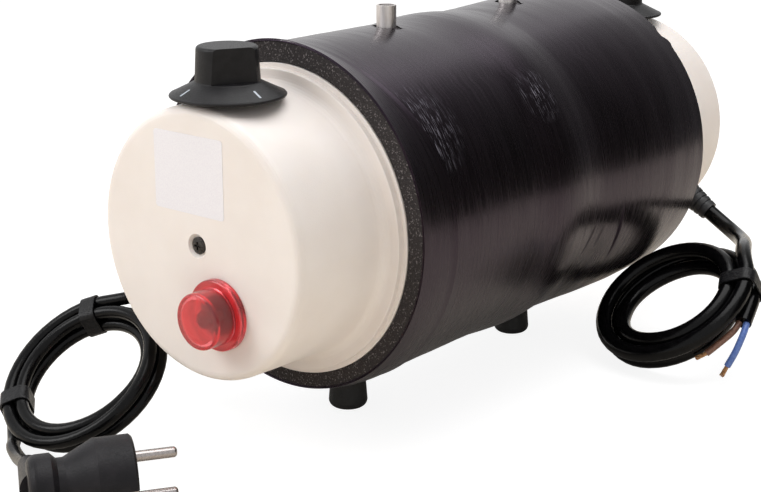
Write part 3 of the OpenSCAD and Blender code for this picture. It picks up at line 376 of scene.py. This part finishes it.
def wrap_film(name, columns, rows, front, back, lift):
    """A flat sheet with its own UV map, wrapped round the sleeve with its edges joined, from front to
    back(turn) and raised by lift(turn, y)."""
    bpy.ops.mesh.primitive_grid_add(x_subdivisions=columns, y_subdivisions=rows, size=1)
    sheet = bpy.context.object
    sheet.name = name
    for point in sheet.data.vertices:
        turn = seam_turn - 2 * math.pi * (point.co.x + 0.5)
        y = front + (back(turn) - front) * (point.co.y + 0.5)
        radius = sleeve_radius(y) + lift(turn, y)
        point.co = (radius * math.cos(turn), y, axis_height + sleeve_rise(y) + radius * math.sin(turn))
    bpy.ops.object.mode_set(mode="EDIT")
    bpy.ops.mesh.select_all(action="SELECT")
    bpy.ops.mesh.remove_doubles(threshold=0.00005)
    bpy.ops.object.mode_set(mode="OBJECT")
    return sheet


def thicken(sheet, thickness, offset):
    """Gives a sheet its thickness, inwards for -1 and outwards for 1, and smooth shading."""
    wall = sheet.modifiers.new("thickness", "SOLIDIFY")
    wall.thickness = thickness
    wall.offset = offset
    bpy.context.view_layer.objects.active = sheet
    sheet.select_set(True)
    bpy.ops.object.modifier_apply(modifier=wall.name)
    bpy.ops.object.shade_smooth_by_angle(angle=smooth_angle)
    sheet.select_set(False)


def round_noise(turn, y, round_mm, long_mm, seed):
    """Noise that closes on itself round the sleeve, in patches of this size round it and along it."""
    reach = sleeve_plain_radius * 1000 / round_mm
    return noise.noise(Vector((reach * math.cos(turn) + seed, reach * math.sin(turn), y * 1000 / long_mm)))


# Three creases on the right side, below the middle: place and turn in degrees of both ends, and depth.
film_creases = [
    (0.0450, -7, 0.0492, -34, 0.00042),
    (0.0225, -11, 0.0145, -27, 0.00014),
    (0.0300, -14, 0.0262, -25, 0.00010),
]
crease_half_width = 0.0020


def film_lift(turn, y):
    """Shallow wrinkles round the sleeve, strongest on the flank of the swelling, and a few creases."""
    film_gap, broad_high, fine_high = 0.0001, 0.00012, 0.00003
    flank_reach, flank_gain = 0.018, 1.5
    turn = math.atan2(math.sin(turn), math.cos(turn))
    flank = hump((y - tank_middle) / flank_reach)
    broad = broad_high * round_noise(turn, y, 70, 11, 3.0)
    fine = fine_high * round_noise(turn, y, 45, 5, 11.0)
    creased = 0
    for first_y, first_turn, last_y, last_turn, deep in film_creases:
        along = (math.degrees(turn) - first_turn) / (last_turn - first_turn)
        crease_y = first_y + (last_y - first_y) * along
        creased += deep * hump(2 * along - 1) * hump((y - crease_y) / crease_half_width)
    return film_gap + broad + (1 + flank_gain * flank) * fine - creased


def film_back(turn):
    """The rear edge is cut by hand: it wanders, with a small nick and a short tongue beside it."""
    nick_turn, nick_deep = math.radians(49.5), 0.0035
    tongue_turn, tongue_long = math.radians(45), 0.0016
    half_width, wander = math.radians(3), 0.0004
    turn = math.atan2(math.sin(turn), math.cos(turn))
    return (sleeve_back + tongue_long * hump((turn - tongue_turn) / half_width)
            - nick_deep * hump((turn - nick_turn) / half_width) + wander * round_noise(turn, 0, 30, 10, 41.0))


film_skin = wrap_film("film_skin", film_columns, film_rows, sleeve_front, film_back, film_lift)
bpy.context.tool_settings.mesh_select_mode = (False, False, True)
# Each hole's place, its side, 1 on top and -1 below, and its radius.
film_holes = [(y, 1, pipe_hole_radius) for y in pipe_places]
film_holes += [(y, -1, stud_hole_radius) for y in stud_places]
bpy.ops.object.mode_set(mode="EDIT")
bpy.ops.mesh.select_all(action="DESELECT")
bpy.ops.object.mode_set(mode="OBJECT")
for face in film_skin.data.polygons:
    for hole_y, side, hole_radius in film_holes:
        above = (face.center.z - axis_height) * side > 0
        if above and math.hypot(face.center.x, face.center.y - hole_y) < hole_radius:
            face.select = True
bpy.ops.object.mode_set(mode="EDIT")
bpy.ops.mesh.delete(type="FACE")
bpy.ops.object.mode_set(mode="OBJECT")
# The rim of each hole is drawn to a round. Those on top have two short points, where the film was slit.
slit_reach, slit_from, rim_reach = 0.0022, 0.8, 0.0016
for point in film_skin.data.vertices:
    for hole_y, side, hole_radius in film_holes:
        across, ahead = point.co.x, point.co.y - hole_y
        away = math.hypot(across, ahead)
        if (point.co.z - axis_height) * side > 0 and away < hole_radius + rim_reach:
            sideways = max(0, abs(across) / away - slit_from) / (1 - slit_from)
            rim = max(away, hole_radius) + (slit_reach * sideways if side > 0 else 0)
            point.co.x, point.co.y = across / away * rim, hole_y + ahead / away * rim
thicken(film_skin, film_thickness, -1)


def film_pattern(material, long, round_mm, long_mm, shift=0.0, low=0.3, high=0.7, detail=2.0):
    """A pattern on the UV map of a sheet of this length, in patches of this size round it and along it."""
    patch = (round_mm / 1000 / film_round, long_mm / 1000 / long, 1)
    return pattern(material, 1000, low, high, detail, patch, "UV", shift)


def film_material(name, dark, pale, rough, relief_mm, long):
    """Black film: streaks and wrinkles that run round the sleeve, on the sheet's own UV map."""
    rough_below, rough_above, streak_share = 0.05, 0.07, 0.36
    material, shader = start_material(name, IOR=1.5, Specular_IOR_Level=0.36, Specular_Tint=linear("#fbd4ff"))
    streaks = film_pattern(material, long, 30, 1.4)
    wrinkles = film_pattern(material, long, 60, 6, 5.0)
    clouds = film_pattern(material, long, 50, 30, 8.0, 0.35, 0.65)
    tint = vary(material, shader, "Base Color", clouds, dark, pale)
    vary(material, shader, "Roughness", streaks, rough - rough_below, rough + rough_above)
    relief = add_node(material, "ShaderNodeMath", {1: streak_share}, {0: streaks}, operation="MULTIPLY")
    both = add_node(material, "ShaderNodeMath", links={0: relief.outputs[0], 1: wrinkles}, operation="ADD")
    emboss(material, shader, both.outputs[0], relief_mm)
    return material, shader, tint


def on_sleeve(y, turn):
    """A point on the film's plain outside."""
    radius = sleeve_radius(y)
    return Vector((radius * math.cos(turn), y, axis_height + radius * math.sin(turn)))


def either(material, values):
    """The greatest of several values."""
    greatest = values[0]
    for value in values[1:]:
        greatest = add_node(material, "ShaderNodeMath", links={0: greatest, 1: value},
                            operation="MAXIMUM").outputs[0]
    return greatest


# Shrunk polyolefin film: a deep black with a violet sheen, and a gloss that is drawn out round the sleeve.
film, shader, film_tint = film_material("shrunk_black_film", "#0c0a0b", "#120f11", 0.25, 0.009, film_long)
# Two patches of painted glints stand in for the film's fine wrinkles catching the lamp: short bright streaks
# round the sleeve, painted into its colour.
# Each patch has a place, a turn and a reach, a little narrower along the sleeve, and is full in its core.
glint_streaks = film_pattern(film, film_long, 8, 0.5, 13.0, 0.56, 0.68, 3.0)
painted_glint_patches = [(-0.100, math.radians(37), 0.026), (-0.014, math.radians(38), 0.017)]
glint_patch_narrow, glint_patch_core = 1.2, 0.2
film_place = add_node(film, "ShaderNodeTexCoord").outputs["Object"]
glint_patch_masks = []
for glint_y, glint_turn, glint_reach in painted_glint_patches:
    glint_away = add_node(film, "ShaderNodeVectorMath", {1: on_sleeve(glint_y, glint_turn)}, {0: film_place},
                          operation="SUBTRACT")
    squeezed = add_node(film, "ShaderNodeVectorMath", {1: (1, glint_patch_narrow, 1)}, {0: glint_away.outputs[0]},
                        operation="MULTIPLY")
    glint_far = add_node(film, "ShaderNodeVectorMath", links={0: squeezed.outputs[0]}, operation="LENGTH")
    scuff_and_glint_patch = add_node(film, "ShaderNodeMapRange",
                     {"From Min": glint_reach, "From Max": glint_patch_core * glint_reach},
                     {"Value": glint_far.outputs["Value"]})
    glint_patch_masks.append(scuff_and_glint_patch.outputs[0])
painted_glints = add_node(film, "ShaderNodeMath", links={0: either(film, glint_patch_masks), 1: glint_streaks},
                     operation="MULTIPLY")
# The painted glints mix the film's colour towards a pale grey.
add_node(film, "ShaderNodeMix", {mix_second: linear("#8a8792")},
         {mix_share: painted_glints.outputs[0], mix_first: film_tint.outputs[mix_result]},
         {mix_result: shader.inputs["Base Color"]}, data_type="RGBA")
# A dull line runs along each crease, where the folded film has lost its gloss, most on the deepest one.
# It reaches only a little way into the sleeve, so that it doesn't show on the far side.
fold_half_width, fold_deep, fold_core, fold_rough = 0.0018, 0.05, 0.5, 1.0
deepest_crease = max(crease[-1] for crease in film_creases)
folds = []
for first_y, first_turn, last_y, last_turn, deep in film_creases:
    fold_start = on_sleeve(first_y, math.radians(first_turn))
    fold_end = on_sleeve(last_y, math.radians(last_turn))
    fold_middle = (fold_start + fold_end) / 2
    fold_along = (fold_end - fold_start).normalized()
    fold_out = Vector((fold_middle.x, 0, fold_middle.z - axis_height))
    fold_across = fold_along.cross(fold_out).normalized()
    fold_turn = Matrix((fold_across, fold_along, fold_across.cross(fold_along))).transposed().to_euler()
    fold_size = (fold_half_width, (fold_end - fold_start).length / 2, fold_deep)
    fold_frame = add_node(film, "ShaderNodeMapping",
                          {"Location": fold_middle, "Rotation": fold_turn, "Scale": fold_size},
                          {"Vector": film_place}, vector_type="TEXTURE")
    fold_far = add_node(film, "ShaderNodeVectorMath", links={0: fold_frame.outputs[0]}, operation="LENGTH")
    fold = add_node(film, "ShaderNodeMapRange",
                    {"From Min": 1, "From Max": fold_core, "To Max": deep / deepest_crease},
                    {"Value": fold_far.outputs["Value"]})
    folds.append(fold.outputs[0])
folded = either(film, folds)
plain_rough = shader.inputs["Roughness"].links[0].from_socket
add_node(film, "ShaderNodeMapRange", {"To Max": fold_rough}, {"Value": folded, "To Min": plain_rough},
         {"Result": shader.inputs["Roughness"]})
film_skin.data.materials.append(film)
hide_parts("insulation_skin")
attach(film_skin, "heater")

# Edge tape: a second strip of the film, shrunk round the front end to close the skin's edge.
# It was laid on aslant, so that it is 25 mm wide at the sides and below and narrows to 8 mm on top.
tape_wide, tape_narrower, tape_thick, tape_rows = 0.025, 0.017, 0.0003, 14
tape_narrow_turn, tape_narrow_reach = math.radians(90), math.radians(80)


def tape_back(turn):
    """The rear edge: aslant, and cut by hand, so that it wanders a little."""
    wander = 0.0012
    turn = math.atan2(math.sin(turn), math.cos(turn))
    wandered = wander * (0.5 + 0.5 * round_noise(turn, 0, 50, 10, 31.0))
    narrowed = tape_narrower * hump((turn - tape_narrow_turn) / tape_narrow_reach)
    return sleeve_front + tape_wide - wandered - narrowed


def tape_lift(turn, y):
    """A nearly even height, with a rear edge that stands up a little."""
    tape_height, tape_waves, flare_high, flare_reach = 0.00036, 0.00008, 0.0003, 0.003
    flare = flare_high * max(0, 1 - (tape_back(turn) - y) / flare_reach)
    return tape_height + flare + tape_waves * round_noise(turn, y, 40, 8, 21.0)


edge_tape = wrap_film("edge_tape", film_columns, tape_rows, sleeve_front, tape_back, tape_lift)
thicken(edge_tape, tape_thick, 1)
tape_film = film_material("black_film_tape", "#0d0b0c", "#141113", 0.28, 0.008, tape_wide)[0]
edge_tape.data.materials.append(tape_film)
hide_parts("front_edge_tape")
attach(edge_tape, "heater")

# End caps: cream mouldings with a stepped flange, drawn on to the tank by their centre screws.
# The plastic has a satin surface with a very fine grain, and it is a little warmer in patches.
cap_plastic, shader = start_material("moulded_cream_plastic", IOR=1.49, Subsurface_Weight=0.08,
                                     Subsurface_Radius=(0.004, 0.003, 0.002), Subsurface_Scale=1.0)
cap_grain = pattern(cap_plastic, 0.7)
cap_warmth = pattern(cap_plastic, 28.0, low=0.3, high=0.7)
vary(cap_plastic, shader, "Base Color", cap_warmth, "#ebe2dc", "#f0e8e3")
vary(cap_plastic, shader, "Roughness", cap_grain, 0.36, 0.48)
emboss(cap_plastic, shader, cap_grain, 0.015)
dress(cap_plastic, "front_cap", "rear_cap")

# Sticker: a bare white label of coated paper, stuck on the front cap above the screw.
# It is 44 mm wide, has round corners and is left blank.
sticker_left, sticker_right, sticker_low, sticker_high = -0.0259, 0.0177, 0.1235, 0.1598
cap_face, sticker_thickness = -0.18325, 0.00015
sticker_corner, sticker_corner_steps = 0.0015, 4
bpy.ops.mesh.primitive_plane_add(size=1)
sticker = bpy.context.object
sticker.name = "blank_sticker"
for point in sticker.data.vertices:
    point.co = (sticker_right if point.co.x > 0 else sticker_left, cap_face,
                sticker_high if point.co.y > 0 else sticker_low)
bpy.ops.object.mode_set(mode="EDIT")
bpy.ops.mesh.select_all(action="SELECT")
bpy.ops.mesh.bevel(offset=sticker_corner, segments=sticker_corner_steps, affect="VERTICES")
bpy.ops.object.mode_set(mode="OBJECT")
thicken(sticker, sticker_thickness, 1)
paper, shader = start_material("coated_white_paper", IOR=1.45)
paper_fibre = pattern(paper, 0.6)
vary(paper, shader, "Base Color", paper_fibre, "#e9e6ec", "#eeecf0")
vary(paper, shader, "Roughness", paper_fibre, 0.3, 0.4)
sticker.data.materials.append(paper)
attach(sticker, "heater")

# Centre screws: one in the sunk seat of each cap's end face, drawn tight on a pillar of the tank.
# They are blackened steel with a cross slot, a paler grey where the black has worn.
dark_screw, shader = start_material("blackened_steel", Metallic=0.8)
screw_wear = pattern(dark_screw, 0.8)
vary(dark_screw, shader, "Base Color", screw_wear, "#1f1d1c", "#4a4643")
vary(dark_screw, shader, "Roughness", screw_wear, 0.35, 0.5)
dress(dark_screw, "cap_screws")

# Lamp: a hollow clear red lens over a small bulb, its threaded holder held behind the cap's face by a nut.
# The lens is clear acrylic with a softened gloss, and the bulb inside shows as a dark shape.
red_lens, shader = start_material("clear_red_acrylic", IOR=1.49, Roughness=0.2, Transmission_Weight=0.92)
lens_cloud = pattern(red_lens, 4.0)
vary(red_lens, shader, "Base Color", lens_cloud, "#fa6f75", "#ff7c82")
dress(red_lens, "lamp_lens")
bulb_glass, shader = start_material("smoked_bulb_glass", IOR=1.5, Roughness=0.12)
bulb_film = pattern(bulb_glass, 2.0)
vary(bulb_glass, shader, "Base Color", bulb_film, "#2a1016", "#42202a")
dress(bulb_glass, "lamp_bulb")

# Knobs: black mouldings with a wide brim and one flat, pressed on to the flattened thermostat shafts.
# Two white marks are printed on each brim and turn with it.
knob_plastic, shader = start_material("moulded_black_abs", IOR=1.53, Specular_IOR_Level=0.2)
knob_grain = pattern(knob_plastic, 0.6)
knob_dust = pattern(knob_plastic, 5.0, low=0.4, high=0.7)
vary(knob_plastic, shader, "Base Color", knob_dust, "#121113", "#1b1a1c")
vary(knob_plastic, shader, "Roughness", knob_grain, 0.36, 0.5)
emboss(knob_plastic, shader, knob_grain, 0.02)
dress(knob_plastic, "front_knob", "rear_knob")
mark_ink, shader = start_material("white_printing_ink", IOR=1.5)
ink_wear = pattern(mark_ink, 0.5)
vary(mark_ink, shader, "Base Color", ink_wear, "#a9b1ba", "#c3cad2")
vary(mark_ink, shader, "Roughness", ink_wear, 0.45, 0.6)
# The brim's slope runs between these two places, each a radius and a height.
brim_foot, brim_top = (0.0257, 0.1759), (0.0154, 0.1810)
mark_in, mark_out, mark_wide, mark_thick = 0.0192, 0.0240, 0.001, 0.0002
mark_corner, mark_corner_steps = 0.0003, 3
# Turns in degrees: the middle between the two marks, each mark's turn from it, and that of the rear knob.
mark_middle, mark_spread, rear_turn = -57, 48.5, 180
knob_reach = 0.1665
knob_centres = {"front": (tank_middle - knob_reach, 0), "rear": (tank_middle + knob_reach, rear_turn)}
for end, (knob_y, end_turn) in knob_centres.items():
    for side in (-1, 1):
        bpy.ops.mesh.primitive_plane_add(size=1)
        mark = bpy.context.object
        mark.name = f"{end}_knob_mark_{'left' if side < 0 else 'right'}"
        mark_turn = math.radians(end_turn + mark_middle + side * mark_spread)
        outward = Vector((math.cos(mark_turn), math.sin(mark_turn), 0))
        sideways = Vector((-math.sin(mark_turn), math.cos(mark_turn), 0))
        for point in mark.data.vertices:
            r = mark_out if point.co.x > 0 else mark_in
            z = brim_top[1] + (brim_foot[1] - brim_top[1]) * (r - brim_top[0]) / (brim_foot[0] - brim_top[0])
            point.co = Vector((0, knob_y, z)) + outward * r + sideways * mark_wide * point.co.y
        bpy.ops.object.mode_set(mode="EDIT")
        bpy.ops.mesh.select_all(action="SELECT")
        bpy.ops.mesh.bevel(offset=mark_corner, segments=mark_corner_steps, affect="VERTICES")
        bpy.ops.mesh.normals_make_consistent(inside=False)
        bpy.ops.object.mode_set(mode="OBJECT")
        thicken(mark, mark_thick, 0)
        mark.data.materials.append(mark_ink)
        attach(mark, f"{end}_dial")

# Feet: two hollow rubber cups on threaded studs below the tank, each held by a nut in its hollow.
# They are moulded in the same dull black rubber as the gaskets.
dress(rubber, "front_foot", "rear_foot")

# Glands: grooved sleeves of black nylon through the caps' walls, each held by a lock nut inside.
# They keep the leads from bending sharply where these leave the heater.
dress(dark_plastic, "front_gland", "rear_gland")

# Mains lead: 0.86 m of round black cord in a lying coil of about three turns, held by two ties.
# The sheath is smooth soft PVC with a low gloss. The lead runs from the front gland to the moulded plug.


def smooth_route(points, steps):
    """A smooth line through points, with a number of steps between each two."""
    ends = [2 * points[0] - points[1]] + points + [2 * points[-1] - points[-2]]
    line = []
    for a, b, c, d in zip(ends, ends[1:], ends[2:], ends[3:]):
        for i in range(steps):
            t = i / steps
            line.append(0.5 * (2 * b + (c - a) * t + (2 * a - 5 * b + 4 * c - d) * t * t
                               + (3 * b - 3 * c + d - a) * t ** 3))
    return line + [points[-1]]


def coil_axes(yaw, tilt):
    """Right, up and normal directions of a coil that lies turned by yaw and leans by tilt, in degrees."""
    y, t = math.radians(yaw), math.radians(tilt)
    return (Vector((math.cos(y), math.sin(y), 0)),
            Vector((-math.sin(y) * math.cos(t), math.cos(y) * math.cos(t), math.sin(t))),
            Vector((math.sin(y) * math.sin(t), -math.cos(y) * math.sin(t), math.cos(t))))


def strand_place(coil, u):
    """Radius and height of a coil after u turns: inwards in the upper layer, outwards in the lower one."""
    drop = max(0, min(1, (u - coil["turns"] / 2) * 2 + 0.5))
    return (coil["radius"] - coil["pitch"] * min(u, coil["turns"] - u),
            coil["pitch"] * (1 + math.cos(math.pi * drop)) / 2)


def coil_line(coil, per_turn):
    """The centre line of a coil."""
    right, up, normal = coil["axes"]
    count = round(coil["turns"] * per_turn)
    line = []
    for i in range(count + 1):
        u = coil["turns"] * i / count
        a = math.radians(coil["start"] + coil["way"] * 360 * u)
        r, height = strand_place(coil, u)
        line.append(coil["place"] + r * (math.cos(a) * right + math.sin(a) * up) + height * normal)
    return line


def millimetres(*points):
    """Points in millimetres as vectors in metres."""
    return [Vector(p) / 1000 for p in points]


def lay_cord(name, lines, diameter, material):
    """Round cord along a line, or several thin ones, as one curve."""
    curve = bpy.data.curves.new(name, "CURVE")
    curve.dimensions = "3D"
    curve.bevel_depth = diameter / 2
    curve.bevel_resolution = 6
    curve.use_fill_caps = True
    for line in lines:
        spline = curve.splines.new("POLY")
        spline.points.add(len(line) - 1)
        for point, place in zip(spline.points, line):
            point.co = (*place, 1)
        spline.use_smooth = True
    made = bpy.data.objects.new(name, curve)
    scene.collection.objects.link(made)
    made.data.materials.append(material)
    return made


tie_wide, tie_thick, tie_gap = 0.008, 0.0008, 0.00025


def tie_band(name, coil, diameter, angles, material):
    """Flat strips drawn tight round the strands of a coil at some angles, as one mesh."""
    right, up, normal = coil["axes"]
    points, faces = [], []
    around, rows = 48, 6
    for angle in angles:
        a = math.radians(angle)
        out, side = math.cos(a) * right + math.sin(a) * up, -math.sin(a) * right + math.cos(a) * up
        u = (coil["way"] * (angle - coil["start"])) % 360 / 360
        strands = []
        while u <= coil["turns"]:
            strands.append(Vector(strand_place(coil, u)))
            u += 1
        first = len(points)
        for row in range(rows):
            across = tie_wide * (row / (rows - 1) - 0.5)
            for k in range(around):
                way = Vector((math.cos(2 * math.pi * k / around), math.sin(2 * math.pi * k / around)))
                rim = max(strands, key=lambda strand: strand.dot(way)) + way * (diameter / 2 + tie_gap)
                points.append(coil["place"] + rim.x * out + rim.y * normal + across * side)
        for row in range(rows - 1):
            for k in range(around):
                p, q = first + row * around + k, first + row * around + (k + 1) % around
                faces.append((p, q, q + around, p + around))
    mesh = bpy.data.meshes.new(name)
    mesh.from_pydata(points, [], faces)
    bands = bpy.data.objects.new(name, mesh)
    scene.collection.objects.link(bands)
    bpy.context.view_layer.objects.active = bands
    bpy.ops.object.mode_set(mode="EDIT")
    bpy.ops.mesh.select_all(action="SELECT")
    bpy.ops.mesh.normals_make_consistent(inside=False)
    bpy.ops.object.mode_set(mode="OBJECT")
    thicken(bands, tie_thick, 1)
    bands.data.materials.append(material)
    return bands


cord_pvc, shader = start_material("black_pvc_cord_sheath", IOR=1.53, Specular_IOR_Level=0.12)
cord_scuff = pattern(cord_pvc, 3.0)
cord_skin = pattern(cord_pvc, 0.6)
vary(cord_pvc, shader, "Base Color", cord_scuff, "#060607", "#0c0c0d")
vary(cord_pvc, shader, "Roughness", cord_scuff, 0.11, 0.18)
emboss(cord_pvc, shader, cord_skin, 0.02)
tie_plastic, shader = start_material("black_vinyl_tie", IOR=1.5, Specular_IOR_Level=0.2)
tie_creases = pattern(tie_plastic, 1.4)
vary(tie_plastic, shader, "Base Color", tie_creases, "#0f0f11", "#19191b")
vary(tie_plastic, shader, "Roughness", tie_creases, 0.28, 0.45)
emboss(tie_plastic, shader, tie_creases, 0.15)

mains_d = 0.0065
coil_steps, bend_steps = 48, 6
mains_shape = {"place": Vector((-0.073, -0.189, 0.028)), "axes": coil_axes(0, 38), "radius": 0.043,
               "pitch": 0.007, "turns": 3.317, "start": 116, "way": 1}
mains_coil = coil_line(mains_shape, coil_steps)
mains_lead = millimetres((-72.50, -154.25, 63.70), (-77, -155.5, 61.6), (-81.3, -158.1, 60.2))
mains_tail = millimetres((-90, -222.9, 3.5), (-83.5, -228.6, 3.4), (-71.5, -234.8, 4.1), (-59.5, -240.6, 7.1),
                         (-49.5, -245.5, 10.3))
mains_route = (smooth_route(mains_lead + mains_coil[:1], bend_steps)[:-1] + mains_coil
               + smooth_route(mains_coil[-1:] + mains_tail, bend_steps)[1:])
mains_cord = lay_cord("mains_cord", [mains_route], mains_d, cord_pvc)
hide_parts("mains_lead", "mains_coil", "mains_tail")
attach(mains_cord, "heater")
mains_ties = tie_band("mains_tie_bands", mains_shape, mains_d, (125, 221), tie_plastic)
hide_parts("mains_ties")
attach(mains_ties, "heater")

# Plug: an angled earthed plug, moulded on to the cord in black PVC with a fine grain.
# Its two pins and its earth clips are nickel-plated brass.
plug_pvc, shader = start_material("moulded_black_plug_pvc", IOR=1.53, Specular_IOR_Level=0.16)
plug_grain = pattern(plug_pvc, 0.8)
plug_dust = pattern(plug_pvc, 7.0, low=0.35, high=0.7)
vary(plug_pvc, shader, "Base Color", plug_dust, "#131215", "#1e1c1f")
vary(plug_pvc, shader, "Roughness", plug_grain, 0.38, 0.52)
emboss(plug_pvc, shader, plug_grain, 0.03)
dress(plug_pvc, "plug_body")
plated_metal, shader = start_material("nickel_plated_brass", Metallic=1.0)
plating_marks = pattern(plated_metal, 1.0)
vary(plated_metal, shader, "Base Color", plating_marks, "#938d8b", "#a39d9b")
vary(plated_metal, shader, "Roughness", plating_marks, 0.2, 0.34)
dress(plated_metal, "plug_pins", "plug_earth_clips")

# Low-voltage lead: 0.83 m of thick black cord in a lying coil of three turns, held by one tie.
# It ends in a blue and a brown core, each with a bared end of fine copper strands.
low_d = 0.009
low_shape = {"place": Vector((0.095, 0.089, 0.0272)), "axes": coil_axes(-22, 35), "radius": 0.045,
             "pitch": 0.0096, "turns": 3.1, "start": 58, "way": -1}
low_coil = coil_line(low_shape, coil_steps)
# The lead leaves the gland along its axis and bends in one arc into the coil's first turn.
low_exit, gland_fall = Vector((0.0725, 0.16475, 0.0637)), math.radians(32)
exit_handle, coil_handle, arc_points = 0.040, 0.028, 32
low_out = Vector((math.cos(gland_fall), 0, -math.sin(gland_fall)))
low_in = (low_coil[1] - low_coil[0]).normalized()
low_lead = geometry.interpolate_bezier(low_exit, low_exit + exit_handle * low_out,
                                       low_coil[0] - coil_handle * low_in, low_coil[0], arc_points)
low_route = low_lead[:-1] + low_coil
low_end = low_coil[-1] + low_d * (low_coil[-1] - low_coil[-2]).normalized()
low_route.append(low_end)
low_cord = lay_cord("low_voltage_cord", [low_route], low_d, cord_pvc)
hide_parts("low_voltage_lead", "low_voltage_coil")
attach(low_cord, "heater")
low_tie = tie_band("low_voltage_tie_band", low_shape, low_d, (40,), tie_plastic)
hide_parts("low_voltage_tie")
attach(low_tie, "heater")


def core_sheath(name, dark, pale):
    """Smooth coloured PVC of a core."""
    material, shader = start_material(name, IOR=1.53)
    scuff_and_glint_patch = pattern(material, 1.5)
    vary(material, shader, "Base Color", scuff_and_glint_patch, dark, pale)
    vary(material, shader, "Roughness", scuff_and_glint_patch, 0.35, 0.5)
    return material


core_d, core_gap = 0.0036, 0.0003
core_side = (core_d + core_gap) / 2 * Vector((0.97, 0.25, 0)).normalized()
core_bends = {
    "blue_core": (1, millimetres((143, 73.5, 27.5), (141.5, 69, 19), (138.5, 66.5, 11), (136, 65.5, 5)),
                  core_sheath("blue_core_pvc", "#4f6cb4", "#6582c4")),
    "brown_core": (-1, millimetres((137.5, 72.5, 28.3), (133, 67, 22.5), (128.5, 61.5, 17.2),
                                   (123.6, 59, 14)),
                   core_sheath("brown_core_pvc", "#6f4c3d", "#8a6553")),
}
# Of each core's strands one lies in the middle and the others round it, twisted and spread towards the tips.
# A share of their bared length lies inside the sheath, and they are cut a little unevenly.
strand_count, strand_d, strand_circle, strand_steps = 9, 0.0006, 0.0008, 5
strand_twist, strand_spread = math.radians(25), 0.06
strand_hidden, strand_shorter = 0.15, 0.02
core_pieces, strand_lines = [], []
for core_name, (side, bends, sheath) in core_bends.items():
    core_route = smooth_route([low_end + side * core_side] + bends[:-1], bend_steps)
    core = lay_cord(f"{core_name}_sheath", [core_route], core_d, sheath)
    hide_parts(core_name)
    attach(core, "heater")
    core_pieces.append(core)
    root, tip = bends[-2], bends[-1]
    ahead = (tip - root).normalized()
    first_side = ahead.orthogonal().normalized()
    second_side = ahead.cross(first_side)
    for i in range(strand_count):
        reach = 0 if i == 0 else strand_circle
        strand_long = 1 - strand_shorter * (i % 3)
        line = []
        for step in range(strand_steps + 1):
            turn = 2 * math.pi * i / (strand_count - 1) + strand_twist * step
            spread = reach * (1 + strand_spread * step)
            along = (1 + strand_hidden) * step / strand_steps - strand_hidden
            place = root.lerp(tip, along * strand_long)
            line.append(place + spread * (math.cos(turn) * first_side + math.sin(turn) * second_side))
        strand_lines.append(line)
copper_strands = lay_cord("copper_strands", strand_lines, strand_d, copper)
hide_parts("copper_ends")
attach(copper_strands, "heater")
